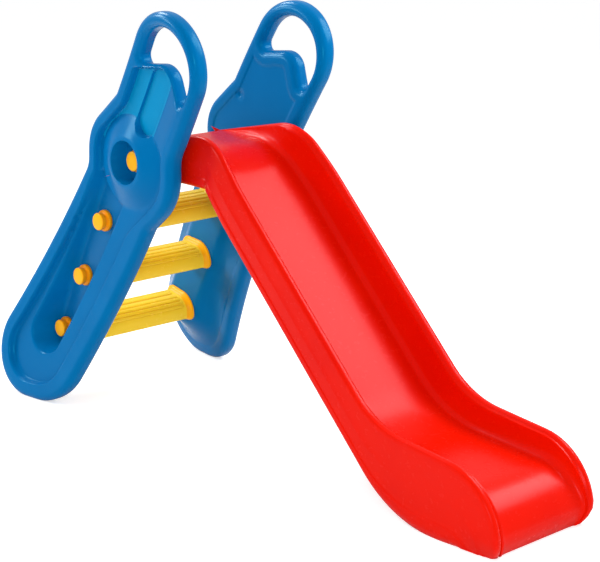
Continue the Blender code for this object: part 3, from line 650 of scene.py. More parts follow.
@dataclass
class SidePanel:
    """Hollow-moulded side panel: rolled rim, recess, drafted trough, boss, pocket and handle."""

    layout: StepLayout
    head_place: tuple[float, float] = (0.009, 0.3375)
    head_radius: float = 0.149
    head_front: float = 0.1445
    grip_width: float = 0.043
    grip_front_width: float = 0.0335
    shoulder: tuple[float, float] = (-0.060, 0.179)
    shoulder_rise: float = 0.78
    rear_wall: float = -0.187
    front_wall: float = 0.197
    chin_angle: float = math.radians(50.0)
    rear_leg_run: float = 0.648
    front_leg_run: float = 0.580
    rear_leg_line: float = -0.16812
    front_leg_line: float = 0.1945
    foot_sink: float = 0.003
    hump_run: float = 0.110
    hump_rise: float = 0.293
    thickness: float = 0.054
    edge_radius: float = 0.0205
    bow_gap: float = 0.2103
    bow_radius: float = 3.6657
    bow_start: float = -0.105
    web_gap: float = 0.1865
    web_splay: float = 0.0365
    web_thickness: float = 0.009
    trough_half: float = 0.068
    trough_draft: float = 0.38
    island_half: float = 0.067
    island_draft: float = 1.1
    recess_depth: float = 0.020
    recess_draft: float = 0.20
    boss_radius: float = 0.134
    boss_top_radius: float = 0.070
    boss_proud: float = 0.006
    pocket_radius: float = 0.060
    pocket_depth: float = 0.040
    pad_drop: float = 0.0075
    pad_draft: float = 0.12
    pad_length: float = 0.215
    pad_width: float = 0.081
    pad_place: tuple[float, float] = (-0.0017, 0.2075)
    lip: float = 0.002
    pocket_draft: float = 0.10
    boss_foot_draft: float = 0.6
    pad_fillet: float = 0.002
    boss_fillet: float = 0.0025
    floor_fillet: float = 0.003
    rim_fillet: float = 0.004
    pocket_fillet: float = 0.006
    boss_foot_fillet: float = 0.012
    trough_fillet: float = 0.014
    island_fillet: float = 0.026
    dimple: tuple[float, float] = (-0.090, 0.117)
    dimple_rim: float = 0.017
    dimple_pit: float = 0.008
    grid: float = 0.0065
    rims: tuple[float, ...] = (0.048, 0.040, 0.040, 0.040, 0.010, 0.009, 0.040, 0.040, 0.040,
                               0.063, 0.049)
    ramp_foot: float = 0.045
    ramp_head: float = 0.1135
    ramp_start: float = -0.125
    ramp_end: float = -0.070
    ramp_drop: float = 0.08

    def __post_init__(self) -> None:
        """Works out the side view's loops."""
        outline, opening, body = self.corners()
        self.faces: list[tuple[np.ndarray, list[tuple[int, ...]], list[np.ndarray]]] = []
        self.outline = rounded(outline)
        self.opening = rounded(opening)
        self.recess = rounded(inset(body, self.rims))
        self.pad = rounded(self.pad_corners())
        self.trough = self.layout.field_loop(self.trough_half)
        self.island = self.layout.field_loop(self.island_half)
        self.holes = [circle(AXLE_POINT, AXLE_BORE, 40)]
        for level in StepLevel:
            self.holes.append(circle(self.layout.place(level), TENON_BORE, 40))

    def corners(self) -> tuple[list[Corner], list[Corner], list[Corner]]:
        """Sets out the side view.

        Returns:
            Corners of the panel, of its handle opening, and of its body below the opening.
        """
        head, head_radius, head_front = lean_point(*self.head_place), self.head_radius, self.head_front
        up, deep = np.array([0.0, 1.0]), AXLE_HEIGHT + self.foot_sink
        heel = np.array([self.rear_leg_line - self.rear_leg_run * deep, -self.foot_sink])
        toe = np.array([self.front_leg_line - self.front_leg_run * deep, -self.foot_sink])
        leg_rear_way = np.array([self.rear_leg_run, 1.0])
        leg_front_way = np.array([self.front_leg_run, 1.0])
        rear_side, front_side = head - ACROSS * head_radius, head + ACROSS * head_front
        rear_wall = np.array([self.rear_wall, AXLE_HEIGHT])
        front_wall = np.array([self.front_wall, AXLE_HEIGHT])
        shoulder = AXLE_POINT + np.array(self.shoulder)
        shoulder_way = np.array([1.0, self.shoulder_rise])
        chin_way = np.array([math.sin(self.chin_angle), math.cos(self.chin_angle)])
        chin = AXLE_POINT + np.array([chin_way[1], -chin_way[0]]) * self.front_wall
        leg_rear = crossing(rear_wall, up, heel, leg_rear_way)
        bulge_top = crossing(rear_wall, up, shoulder, shoulder_way)
        neck_rear = crossing(rear_side, ALONG, shoulder, shoulder_way)
        neck_front = crossing(front_side, ALONG, front_wall, up)
        bulge_low = crossing(front_wall, up, chin, chin_way)
        leg_front = crossing(toe, leg_front_way, chin, chin_way)
        top = head + ALONG * head_radius
        lower = [(heel, 0.148), (leg_rear, 0.060), (bulge_top, 0.13), (neck_rear, 0.030)]
        front = [(neck_front, 0.080), (bulge_low, 0.170), (leg_front, 0.035), (toe, 0.170)]
        outline = lower + [(top - ACROSS * head_radius, head_radius - ROUND_END_GAP),
                           (top + ACROSS * head_front, head_front - ROUND_END_GAP)] + front
        grip, grip_front = head_radius - self.grip_width, head_front - self.grip_front_width
        inner_rear, inner_front = head - ACROSS * grip, head + ACROSS * grip_front
        inner_top = head + ALONG * grip
        hump = np.array([inner_rear[0] + self.hump_run, AXLE_HEIGHT + self.hump_rise])
        hump_rear_way, hump_front_way = np.array([1.0, 0.09]), np.array([0.036, -0.117])
        opening = [(crossing(inner_rear, ALONG, hump, hump_rear_way), 0.018),
                   (inner_top - ACROSS * grip, grip - ROUND_END_GAP),
                   (inner_top + ACROSS * grip_front, grip - ROUND_END_GAP),
                   (crossing(inner_front, ALONG, hump, hump_front_way), 0.016),
                   (hump, 0.058)]
        body = lower + [(crossing(rear_side, ALONG, hump, hump_rear_way), 0.018), (hump, 0.058),
                        (crossing(front_side, ALONG, hump, hump_front_way), 0.018)] + front
        return outline, opening, body

    def pad_corners(self) -> list[Corner]:
        """Sets out the sunken round-ended pad under the handle.

        Returns:
            Its corners, in order.
        """
        centre, half = lean_point(*self.pad_place), self.pad_width / 2.0
        return [(centre + ALONG * (a * self.pad_length / 2.0) + ACROSS * (b * half),
                 half - ROUND_END_GAP) for a, b in ((-1, -1), (1, -1), (1, 1), (-1, 1))]

    def ramp_line(self) -> np.ndarray:
        """Draws a narrow loop along the top of the ramp between the pad and the front rim.

        Returns:
            Points of the loop, in order.
        """
        foot, head = lean_point(self.ramp_head, 0.07), lean_point(self.ramp_head, 0.22)
        line = spread(foot, head, 40)
        return np.concatenate([line, line[::-1] + ACROSS * 0.0008])

    def down(self, places: np.ndarray) -> np.ndarray:
        """Distance below the axle along the lean."""
        return -(places - AXLE_POINT) @ ALONG

    def bow(self, places: np.ndarray) -> np.ndarray:
        """Distance from the middle plane to the panel's mid surface."""
        return self.bow_gap + (self.down(places) - self.bow_start) ** 2 / (2.0 * self.bow_radius)

    def web(self, places: np.ndarray) -> np.ndarray:
        """Distance from the middle plane to the inner face of the web that carries the steps."""
        return self.web_gap + self.web_splay * self.down(places)

    def edge_distance(self, places: np.ndarray) -> np.ndarray:
        """Distance to the panel's nearest edge, its handle opening's among them."""
        return np.minimum(inside_distance(places, self.outline),
                          -inside_distance(places, self.opening))

    def roll(self, edge: np.ndarray) -> np.ndarray:
        """How far the surface has fallen towards the mid surface at the rolled edges."""
        near = self.edge_radius - np.clip(edge, 0.0, self.edge_radius)
        return self.edge_radius - np.sqrt(np.maximum(self.edge_radius ** 2 - near ** 2, 0.0))

    def outer(self, places: np.ndarray, edge: np.ndarray) -> np.ndarray:
        """Height of the outer face.

        Args:
            places: Side-view points, one per row.
            edge: Distance of each to the panel's nearest edge.

        Returns:
            Distance from the middle plane at each.
        """
        face = self.bow(places) + self.thickness / 2.0
        floor = face - self.recess_depth
        radius = np.linalg.norm(places - AXLE_POINT, axis=1)
        wall = (-inside_distance(places, self.recess) + self.lip) / self.recess_draft
        across = (places - AXLE_POINT) @ ACROSS
        ramp = (across - self.ramp_foot) * (self.recess_depth / (self.ramp_head - self.ramp_foot))
        ramp = ramp - self.ramp_drop * ease(self.down(places), self.ramp_start, self.ramp_end)
        cut = soft_max(floor, floor + soft_max(wall, ramp, self.pad_fillet), self.floor_fillet)
        height = soft_min(face, cut, self.rim_fillet)
        cone = floor + (self.boss_radius - radius) * (
            (self.recess_depth + self.boss_proud) / (self.boss_radius - self.boss_top_radius))
        boss = soft_min(cone, face + self.boss_proud, self.rim_fillet)
        height = soft_max(height, boss, self.boss_fillet)
        bed = self.web(places) + self.web_thickness
        into = inside_distance(places, self.trough)
        side_wall = floor + self.lip - into / self.trough_draft
        boss_wall = floor + self.lip - (radius - self.boss_radius) / self.boss_foot_draft
        trough = soft_max(bed, side_wall, self.trough_fillet)
        trough = soft_max(trough, boss_wall, self.boss_foot_fillet)
        height = soft_min(height, trough, self.pocket_fillet)
        pad_floor = floor - self.pad_drop
        pad_wall = (-inside_distance(places, self.pad) + self.lip / 2.0) / self.pad_draft
        pad = soft_max(pad_floor, pad_floor + pad_wall, self.floor_fillet)
        height = soft_min(height, pad, self.pad_fillet)
        well_floor = face - self.pocket_depth
        well_wall = (radius - self.pocket_radius + 0.003) / self.pocket_draft
        well = soft_max(well_floor, well_floor + well_wall, self.pocket_fillet)
        height = soft_min(height, well, self.pocket_fillet)
        return height - self.roll(edge)

    def inner(self, places: np.ndarray, edge: np.ndarray) -> np.ndarray:
        """Height of the inner face.

        Args:
            places: Side-view points, one per row.
            edge: Distance of each to the panel's nearest edge.

        Returns:
            Distance from the middle plane at each.
        """
        face = self.bow(places) - self.thickness / 2.0
        radius = np.linalg.norm(places - AXLE_POINT, axis=1)
        face = face + 0.0026 * ease(edge, 0.038, 0.043) * ease(radius, 0.048, 0.056)
        away = np.linalg.norm(places - lean_point(*self.dimple), axis=1)
        for radius, soft, depth in ((self.dimple_rim, 0.003, 0.0016), (self.dimple_pit, 0.002, 0.0030)):
            face = face + depth * (1.0 - ease(away, radius - soft, radius + soft))
        into = inside_distance(places, self.island)
        pad = soft_max(self.web(places), self.web(places) - into / self.island_draft, 0.010)
        return soft_min(face, pad, self.island_fillet) + self.roll(edge)

    def in_hole(self, places: np.ndarray, margin: float) -> np.ndarray:
        """Which places lie in a hole, or no farther from one than the margin."""
        return np.any([inside_distance(places, hole) >= -margin for hole in self.holes], axis=0)

    def spots(self, rings: Rings) -> np.ndarray:
        """Picks the places of a face's points, dense along the rolled edges and the given loops.

        Args:
            rings: Loops with the distances at which the mesh follows them.

        Returns:
            The places, no two of them on one spot.
        """
        row_share, clear, spot = 0.866, self.grid * 0.55, 0.0006
        rolls = [self.edge_radius * (1.0 - math.cos(a)) for a in np.radians(np.arange(12, 91, 13))]
        followed = [(self.outline, rolls), (self.opening, [-d for d in rolls]), *rings]
        lines = np.concatenate([offset_loop(loop, distance) for loop, distances in followed
                                for distance in distances])
        low, high = self.outline.min(axis=0), self.outline.max(axis=0)
        xs = np.arange(low[0], high[0], self.grid)
        zs = np.arange(low[1], high[1], self.grid * row_share)
        cells = np.stack(np.meshgrid(xs, zs), axis=-1)
        cells[1::2, :, 0] += self.grid / 2.0
        marks = KDTree(len(lines))
        for i, (x, z) in enumerate(lines):
            marks.insert((x, z, 0.0), i)
        marks.balance()
        free = [(x, z) for x, z in cells.reshape(-1, 2) if marks.find((x, z, 0.0))[2] > clear]
        places = np.concatenate([lines, np.array(free)])
        keys = np.unique(np.round(places / spot).astype(int), axis=0, return_index=True)[1]
        return places[np.sort(keys)]

    def surface(self, height: FaceHeight,
                rings: Rings) -> tuple[np.ndarray, list[tuple[int, ...]], list[np.ndarray]]:
        """Cuts one face into triangles.

        Args:
            height: Height of the face.
            rings: Loops with the distances at which the mesh follows them.

        Returns:
            Points, faces and, for each boundary loop, the numbers of its points in order.
        """
        loops = [self.outline, self.opening, *self.holes]
        starts = list(accumulate(map(len, loops), initial=0))
        edges = [(first + i, first + (i + 1) % len(loop)) for first, loop in zip(starts, loops)
                 for i in range(len(loop))]
        places = self.spots(rings)
        edge = self.edge_distance(places)
        keep = (edge > 0.0003) & ~self.in_hole(places, 0.0005)
        places = np.concatenate([*loops, places[keep]])
        edge = np.concatenate([np.zeros(starts[2]), np.full(starts[-1] - starts[2], self.thickness),
                               edge[keep]])
        made = delaunay_2d_cdt([Vector(p) for p in places], edges, [], 0, 1e-7)
        flat = np.array([tuple(v) for v in made[0]])
        faces = np.array([f for f in made[2] if len(f) == 3])
        number = np.zeros(len(places), int)
        flat_edge = np.zeros(len(flat))
        for new, olds in enumerate(made[3]):
            for old in olds:
                number[old] = new
                flat_edge[new] = edge[old]
        on_border = np.zeros(len(flat), bool)
        on_border[number[:starts[-1]]] = True
        solid = ~on_border[faces].all(axis=1)
        doubtful = np.flatnonzero(~solid)
        middles = flat[faces[doubtful]].mean(axis=1)
        solid[doubtful] = (self.edge_distance(middles) > 0.0) & ~self.in_hole(middles, 0.0)
        borders = [number[first:first + len(loop)] for first, loop in zip(starts, loops)]
        points = in_plane(flat, height(flat, flat_edge))
        return points, [tuple(f) for f in faces[solid]], borders

    def build(self, side: Side, finishes: Finishes) -> Piece:
        """Makes one panel.

        Args:
            side: Which panel.
            finishes: The object's materials.

        Returns:
            The piece.
        """
        circles = [(circle(AXLE_POINT, self.boss_radius, 110), [-0.006, -0.002, 0.0, 0.002, 0.006]),
                   (circle(AXLE_POINT, self.boss_top_radius, 80), [-0.006, -0.002, 0.002, 0.006]),
                   (circle(AXLE_POINT, self.pocket_radius, 80),
                    [-0.004, -0.002, -0.001, 0.0, 0.001, 0.002, 0.004, 0.008])]
        wall = [-0.010, -0.007, -0.0045, -0.002, 0.0, 0.002, 0.0045, 0.007]
        draft = [-0.008, -0.003, 0.0, 0.003, 0.007, 0.012, 0.018, 0.025, 0.032, 0.039, 0.046, 0.052]
        outer_rings = [(self.recess, wall), (self.pad, wall), (self.trough, draft), *circles,
                       (self.ramp_line(), [-0.004, -0.002, 0.0, 0.002, 0.004])]
        dimple = lean_point(*self.dimple)
        inner_rings = [(self.island, [-0.060, -0.052, -0.044, -0.037, -0.030, -0.024, -0.018, -0.012,
                                      -0.007, -0.003, 0.0, 0.003, 0.006]),
                       (self.outline, [0.038, 0.0405, 0.043]),
                       (circle(dimple, self.dimple_rim, 48), [-0.003, 0.0, 0.003]),
                       (circle(dimple, self.dimple_pit, 32), [-0.002, 0.0, 0.002])]
        if not self.faces:
            self.faces = [self.surface(self.outer, outer_rings),
                          self.surface(self.inner, inner_rings)]
        maker = MeshMaker()
        starts, borders = [], []
        for points, faces, edges in self.faces:
            first = maker.add(mirrored(points, side))
            maker.faces.extend(tuple(i + first for i in f) for f in faces)
            starts.append(first)
            borders.append(edges)
        for out, inn in zip(*borders):
            for i in range(len(out)):
                j = (i + 1) % len(out)
                maker.faces.append((starts[0] + out[i], starts[0] + out[j],
                                    starts[1] + inn[j], starts[1] + inn[i]))
        piece = maker.build(f"panel_{side.label}", weld=1e-6, sharp_from=60.0)
        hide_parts(f"side_panel_{side.label}")
        dress(piece, Body.LADDER, "blue_plastic", finishes.panel, finishes.panel_floor)
        self.paint_floor_light(piece, side)
        return piece

    def paint_floor_light(self, piece: Piece, side: Side) -> None:
        """Paints a lighter blue on the flat faces of the pad and of the recess round it: painted light
        standing for the light and reflection they catch.

        Args:
            piece: The panel.
            side: Which panel it is.
        """
        flat_from, slack, deepest, lowest = 0.975, 0.001, 0.032, 0.02
        middles = centres(piece)
        outward = np.array([p.normal.y for p in piece.data.polygons]) * side.value
        places = middles[:, [0, 2]] - np.array([PIVOT.x, 0.0])
        sunk = self.bow(places) + self.thickness / 2.0 - np.abs(middles[:, 1])
        floor = (outward > flat_from) & (sunk > self.recess_depth - slack) & (sunk < deepest)
        floor &= self.down(places) < lowest
        floor &= (places - AXLE_POINT) @ ACROSS < self.ramp_foot + slack
        # These flat floor faces get the lighter blue painted light.
        piece.data.polygons.foreach_set("material_index", floor.astype(np.int32))


@dataclass
class Step:
    """Ribbed tread with mushroom-shaped collars that sit on the panels' webs."""

    level: StepLevel
    layout: StepLayout
    panel: SidePanel
    depth: float = 0.114
    height: float = 0.060
    crest: float = 0.044
    brow: float = 0.033
    ridges: int = 5
    ridge_share: float = 0.70
    run_weight: float = 0.35
    ridge_height: float = 0.0015
    groove: float = 0.0036
    flank: float = 0.36
    brow_steps: int = 110
    radii: tuple[float, ...] = (0.010, 0.018, 0.050, 0.012)
    margin: float = 0.013
    foot_share: float = 0.35
    flange: float = 0.006
    flare: float = 0.022
    ridge_fade: float = 0.009
    tenon_radius: float = 0.014
    tenon_reach: float = 0.018
    drops: tuple[float, ...] = (0.008, 0.009, 0.013)
    tilts: tuple[float, ...] = (0.0, 0.0, 6.0)

    def ring(self, margin: float, ridge: float) -> np.ndarray:
        """Closed section about the step's centre.

        Args:
            margin: How far the section is grown.
            ridge: Height of the ridges.

        Returns:
            Points of the section, the same count whatever the margin.
        """
        half, low = self.depth / 2.0 + margin, -self.height / 2.0 - margin * self.foot_share
        corners = [np.array(c) for c in ((-half, low), (-half, self.crest + margin),
                                         (half, self.brow + margin), (half, low))]
        arcs = []
        for i, corner in enumerate(corners):
            before = unit(corners[i - 1] - corner)
            after = unit(corners[(i + 1) % 4] - corner)
            steps = self.brow_steps if i == 2 else 14
            arcs.append(corner_arc(corner, before, after, self.radii[i] + margin, steps))
        line = np.concatenate([spread(arcs[1][-1], arcs[2][0], 50), arcs[2]])
        ways = np.gradient(line, axis=0)
        normals = np.stack([-ways[:, 1], ways[:, 0]], axis=1)
        normals /= np.linalg.norm(normals, axis=1)[:, None]
        run = np.cumsum(np.abs(ways[:, 1]) + self.run_weight * np.abs(ways[:, 0]))
        zone = run / (run[-1] * self.ridge_share)
        phase = (zone * self.ridges) % 1.0
        bump = np.clip((0.5 - np.abs(phase - 0.5)) / self.flank, 0.0, 1.0)
        bump = np.sqrt(np.maximum(1.0 - (1.0 - bump) ** 2, 0.0))
        lift = ridge * bump - self.groove * (1.0 - bump) * (ridge / self.ridge_height)
        line = line + normals * np.where(zone < 1.0, lift, 0.0)[:, None]
        left = spread(arcs[0][-1], arcs[1][0], 4)
        right = spread(line[-1], arcs[3][0], 4)
        under = spread(arcs[3][-1], arcs[0][0], 12)
        return np.concatenate([arcs[0], left, arcs[1], line, right, arcs[3], under])

    def stations(self, seat: float) -> list[Triple]:
        """Lays out the sections from the collar to the middle.

        Args:
            seat: Distance from the middle plane to the web.

        Returns:
            Growth of each section, its ridges' height and its distance from the middle plane.
        """
        flare = seat - self.flange
        rows = [(self.margin - 0.0012, 0.0, seat), (self.margin, 0.0, seat - 0.0010),
                (self.margin, 0.0, flare + 0.0012), (self.margin - 0.0004, 0.0, flare + 0.0003)]
        for share in np.linspace(0.06, 1.0, 12):
            rows.append((self.margin * (1.0 - share) ** 2.6, 0.0, flare - self.flare * share))
        last = flare - self.flare
        for share in np.linspace(0.1, 1.0, 8):
            rise = math.sqrt(1.0 - (1.0 - share) ** 2)
            rows.append((0.0, self.ridge_height * rise, last - self.ridge_fade * share))
        last -= self.ridge_fade
        rows += [(0.0, self.ridge_height, last * share) for share in (0.75, 0.5, 0.25)]
        return rows

    def build(self, finishes: Finishes) -> Piece:
        """Makes the step.

        Args:
            finishes: The object's materials.

        Returns:
            The piece.
        """
        axis = self.layout.place(self.level)
        seat = float(self.panel.web(axis[None])[0])
        flare = seat - self.flange
        last = flare - self.flare - self.ridge_fade
        tilt = math.radians(-self.tilts[self.level.value])
        turn = np.array([[math.cos(tilt), -math.sin(tilt)], [math.sin(tilt), math.cos(tilt)]])
        centre = axis - np.array([0.0, self.drops[self.level.value]])
        loops = []
        for margin, ridge, y in self.stations(seat):
            flat = self.ring(margin, ridge) @ turn.T + centre
            lean = 0.0
            if y > flare - 0.0001:
                lean = self.panel.web(flat) - seat - SEAT_GAP
            loops.append(in_plane(flat, y + lean))
        loops += [mirrored(loop, Side.RIGHT) for loop in reversed(loops)]
        maker = MeshMaker()
        maker.loft(loops, caps=True)
        reach = seat + self.panel.web_thickness + self.tenon_reach
        for side in Side:
            rod = [(0.0, seat - 0.002), (self.tenon_radius, seat - 0.002),
                   (self.tenon_radius, reach - 0.001), (self.tenon_radius - 0.001, reach),
                   (0.0, reach)]
            maker.turn([(r, y * side.value) for r, y in rod], axis, 48)
        piece = maker.build(f"tread_{self.level.label}", sharp_from=40.0)
        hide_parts(f"step_{self.level.label}")
        dress(piece, Body.LADDER, "yellow_plastic", finishes.tread, finishes.tread_groove,
              finishes.cap_face)
        middles = centres(piece)
        local = (middles[:, [0, 2]] - np.array([PIVOT.x, 0.0]) - centre) @ turn
        sunk = inside_distance(local, self.ring(0.0, 0.0)) > self.groove * 0.35
        away = np.abs(middles[:, 1])
        # Faces sunk in the grooves get the darker orange painted shade; the collars get the caps'
        # deeper yellow.
        painted_groove_shade = sunk & (away < last) & (local[:, 1] > -0.02)
        collars = (away > flare - self.flare * 0.7) & (away < seat + 0.001)
        piece.data.polygons.foreach_set("material_index", (painted_groove_shade + 2 * collars).astype(np.int32))
        return piece


@dataclass
class Cap:
    """Turned spool that closes the end of a tenon or of the axle."""

    name: str
    node: str
    side: Side
    place: np.ndarray
    surface: HeightField
    offset: float
    bore: float
    reach: float
    head_radius: float = 0.0255
    height: float = 0.033
    base_radius: float = 0.0315
    waist: float = 0.004
    base_share: float = 0.34

    def profile(self) -> list[tuple[float, float]]:
        """Draws the cap's half section.

        Returns:
            Pairs of radius and height from the bore's end, round the foot, to the domed face.
        """
        base = self.height * self.base_share
        head = self.head_radius
        points = [(0.0, self.reach), (self.bore, self.reach), (self.bore, SEAT_GAP)]
        points += [(self.base_radius - 0.0008, SEAT_GAP), (self.base_radius, 0.0012),
                   (self.base_radius, base * 0.62)]
        for angle in np.radians(np.arange(15.0, 91.0, 15.0)):
            points.append((self.base_radius - 0.003 * (1.0 - math.cos(angle)),
                           base * 0.62 + base * 0.38 * math.sin(angle)))
        points += [(head - self.waist + 0.0016, base + 0.0006), (head - self.waist, base + 0.0024),
                   (head - self.waist, base + 0.0048), (head - self.waist + 0.0014, base + 0.0066),
                   (head - 0.0006, base + 0.0078)]
        for angle in np.radians(np.arange(0.0, 91.0, 12.0)):
            points.append((head - 0.005 * (1.0 - math.cos(angle)),
                           self.height - 0.0048 + 0.0038 * math.sin(angle)))
        points += [(head * 0.60, self.height - 0.0004), (head * 0.30, self.height - 0.0001),
                   (0.0, self.height)]
        return points

    def build(self, finishes: Finishes) -> Piece:
        """Makes the cap.

        Args:
            finishes: The object's materials.

        Returns:
            The piece.
        """
        maker = MeshMaker()
        maker.turn(self.profile(), self.place)
        points = np.array(maker.points)
        points[:, 1] += self.surface(points[:, [0, 2]]) + self.offset
        maker.points = list(map(tuple, mirrored(points, self.side)))
        piece = maker.build(self.name)
        edge = self.height * self.base_share + 0.0030
        base = float(self.surface(self.place[None])[0]) + self.offset
        dress(piece, Body.LADDER, "yellow_plastic", finishes.cap_face, finishes.cap_painted_shade)
        # Faces at the foot and faces that don't look along the axle get the deeper orange painted
        # shade.
        for face in piece.data.polygons:
            low = abs(face.center.y) - base < edge
            face.material_index = int(low or abs(face.normal.y) < 0.75)
        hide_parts(self.node)
        return piece


@dataclass
class Chute:
    """One-piece thin-walled chute with rolled rims and a boot-shaped toe."""

    wall: float = 0.0045
    half_seat: float = 0.172
    half_slope: float = 0.1885
    half_toe: float = 0.186
    flare_start: float = 0.262
    flare_end: float = 0.430
    bed_inset: float = 0.036
    bed_fillet: float = 0.024
    rim_roll: float = 0.0125
    rim_inset: float = 0.0160
    outside: tuple[tuple[float, float], ...] = (
        (-0.0040, 0.16), (-0.0036, 0.25), (-0.0030, 0.36), (-0.0022, 0.44), (-0.0016, 0.48),
        (-0.0015, 0.53), (-0.0018, 0.66), (-0.0020, 0.755), (-0.0016, 0.785), (-0.0004, 0.805),
        (0.0, 0.83), (-0.0002, 0.89), (-0.0016, 0.94), (-0.0075, 1.0))
    slope: float = 0.980
    rear: float = -0.112
    arc_steps: int = 14
    line_steps: int = 22
    toe_tuck: float = 0.024
    toe_tuck_height: float = 0.060
    hub_inner: float = 0.138
    hub_outer: float = 0.1825
    hub_radius: float = 0.030
    platform_half: float = 0.044
    seat_front: float = 0.217
    landing_height: float = 0.1587
    run_out: float = 0.4495
    crest: tuple[float, float] = (0.285, 0.110)
    rim_landing_height: float = 0.2281
    rim_toe_height: float = 0.193
    skirt_front: float = 0.271
    skirt_slope: float = 0.97415

    def side_curve(self, *stations: Triple) -> np.ndarray:
        """Makes an open side-view curve with the same count of points whatever its radii.

        Args:
            stations: x and z of each corner, and its radius.

        Returns:
            The curve's points.
        """
        corners = [(np.array([x, z]), radius) for x, z, radius in stations]
        arcs = []
        for before, (corner, radius), after in zip(corners, corners[1:], corners[2:]):
            back, ahead = unit(before[0] - corner), unit(after[0] - corner)
            if float(back @ ahead) < -0.9999995:
                shares = np.linspace(-radius, radius, self.arc_steps + 1)[:, None]
                arcs.append(corner + ahead * shares)
            else:
                arcs.append(corner_arc(corner, back, ahead, radius, self.arc_steps))
        stops = [corners[0][0][None], *arcs, corners[-1][0][None]]
        points = [stops[0]]
        for last, following in zip(stops, stops[1:]):
            points.append(spread(last[-1], following[0], self.line_steps))
            points.append(following)
        return np.concatenate(points)

    def curves(self) -> tuple[np.ndarray, np.ndarray, np.ndarray]:
        """Draws the chute's side view.

        Returns:
            Curves of the bed, of the rim and of the skirt's lower edge, point for point.
        """
        platform, under = AXLE_HEIGHT + self.platform_half, AXLE_HEIGHT - self.platform_half
        fall = platform - self.landing_height
        landing = np.array([self.seat_front + fall / self.slope, self.landing_height])
        nose = landing + np.array([1.0, -0.055]) * self.run_out
        bed = self.side_curve(
            (self.rear, under, 0.0),
            (-0.098, platform - 0.002, 0.075),
            (self.seat_front, platform, 0.22),
            (*landing, 0.33),
            (*nose, 0.145),
            (nose[0] + 0.027, 0.0, 0.0))
        crest = AXLE_POINT + np.array(self.crest)
        rim_run = (crest[1] - self.rim_landing_height) / self.slope
        rim = self.side_curve(
            (self.rear + 0.002, under, 0.0),
            (-0.098, AXLE_HEIGHT + 0.032, 0.045),
            (*crest, 0.16),
            (crest[0] + rim_run, self.rim_landing_height, 0.26),
            (nose[0] + 0.037, self.rim_toe_height, 0.180),
            (nose[0] + 0.032, 0.0, 0.0))
        low_end, toe = self.skirt_front + under / self.skirt_slope, nose[0] - 0.025
        skirt = self.side_curve(
            (self.rear + 0.030, under, 0.0),
            (0.0, under, 0.040),
            (self.skirt_front, under, 0.02),
            (low_end, 0.0, 0.34),
            ((low_end + toe) / 2.0 + 0.06, 0.0, 0.020),
            (toe, 0.0, 0.0))
        return bed, rim, skirt

    def half_width(self, x: float, end: float) -> float:
        """Works out half the chute's width: narrow between the panels, then flared to the toe.

        Args:
            x: Place along the slide.
            end: Place of the toe's tip.

        Returns:
            Half the width there.
        """
        if x < self.flare_end:
            share = float(ease(x, self.flare_start, self.flare_end))
            return self.half_seat + (self.half_slope - self.half_seat) * share
        share = min((x - self.flare_end) / (end - self.flare_end), 1.0)
        return self.half_slope + (self.half_toe - self.half_slope) * share

    def section(self, bed: np.ndarray, rim: np.ndarray, skirt: np.ndarray,
                end: float) -> np.ndarray:
        """Draws the half section at one station.

        Args:
            bed: Side-view point of the bed.
            rim: Side-view point of the rim's top.
            skirt: Side-view point of the skirt's edge.
            end: Place of the toe's tip.

        Returns:
            Points from the middle of the bed to the skirt's edge.
        """
        width = self.half_width(float(rim[0]), end)
        rise, fall = rim - bed, skirt - rim
        edge = width - self.bed_inset
        lift = min(self.bed_fillet / max(float(np.linalg.norm(rise)), 1e-4), 0.45)
        places = [(0.0, *bed), (edge * 0.35, *bed), (edge * 0.7, *bed),
                  (edge - self.bed_fillet, *bed)]
        for angle in np.radians((18.0, 36.0, 52.0, 66.0)):
            y = edge - self.bed_fillet + self.bed_fillet * math.sin(angle)
            places.append((y, *(bed + rise * (lift * (1.0 - math.cos(angle))))))
        inner = width - self.rim_inset - self.rim_roll * 1.25
        places.append((edge + (inner - edge) * 0.25, *(bed + rise * max(lift, 0.35))))
        places.append((edge + (inner - edge) * 0.62, *(bed + rise * 0.62)))
        places.append((inner - 0.002, *(bed + rise * 0.86)))
        drop = fall / max(float(np.linalg.norm(fall)), 1e-6)
        for angle in np.radians((155.0, 130.0, 105.0, 80.0, 55.0, 30.0)):
            y = width - self.rim_inset + self.rim_roll * math.cos(angle)
            places.append((y, *(rim + drop * (self.rim_roll * (1.0 - math.sin(angle))))))
        for y, share in self.outside:
            places.append((width + y, *(rim + fall * share)))
        points = np.array([(x, y, z) for y, x, z in places])
        low = np.clip(1.0 - points[:, 2] / self.toe_tuck_height, 0.0, 1.0) ** 2
        points[:, 0] -= self.toe_tuck * low * ease(points[:, 0], end - 0.12, end - 0.02)
        side_tuck = self.toe_tuck * 0.8 * low * (points[:, 1] > 0.1)
        points[:, 1] -= side_tuck * ease(points[:, 0], end - 0.20, end - 0.01)
        return points

    def build(self, finishes: Finishes) -> list[Piece]:
        """Makes the chute and its two pivot hubs.

        Args:
            finishes: The object's materials.

        Returns:
            The pieces.
        """
        bed, rim, skirt = self.curves()
        rows = []
        for b, r, s in zip(bed, rim, skirt):
            half = smooth_rows(self.section(b, r, s, float(rim[-1][0])), 2)
            rows.append(np.concatenate([mirrored(half[:0:-1], Side.RIGHT), half]))
        maker = MeshMaker()
        maker.loft(rows, closed=False)
        piece = maker.build("chute_shell", weld=1e-5)
        solidify = piece.modifiers.new("wall", "SOLIDIFY")
        solidify.thickness = self.wall
        solidify.offset = -1.0
        solidify.use_even_offset = True
        bevel = piece.modifiers.new("worn edge", "BEVEL")
        bevel.width = 0.0010
        bevel.segments = 2
        bevel.limit_method = "ANGLE"
        bevel.angle_limit = math.radians(SHARP_ANGLE)
        self.settle(piece)
        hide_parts("chute")
        dress(piece, Body.CHUTE, "red_plastic", finishes.chute)
        return [piece, *(self.hub(side, finishes) for side in Side)]

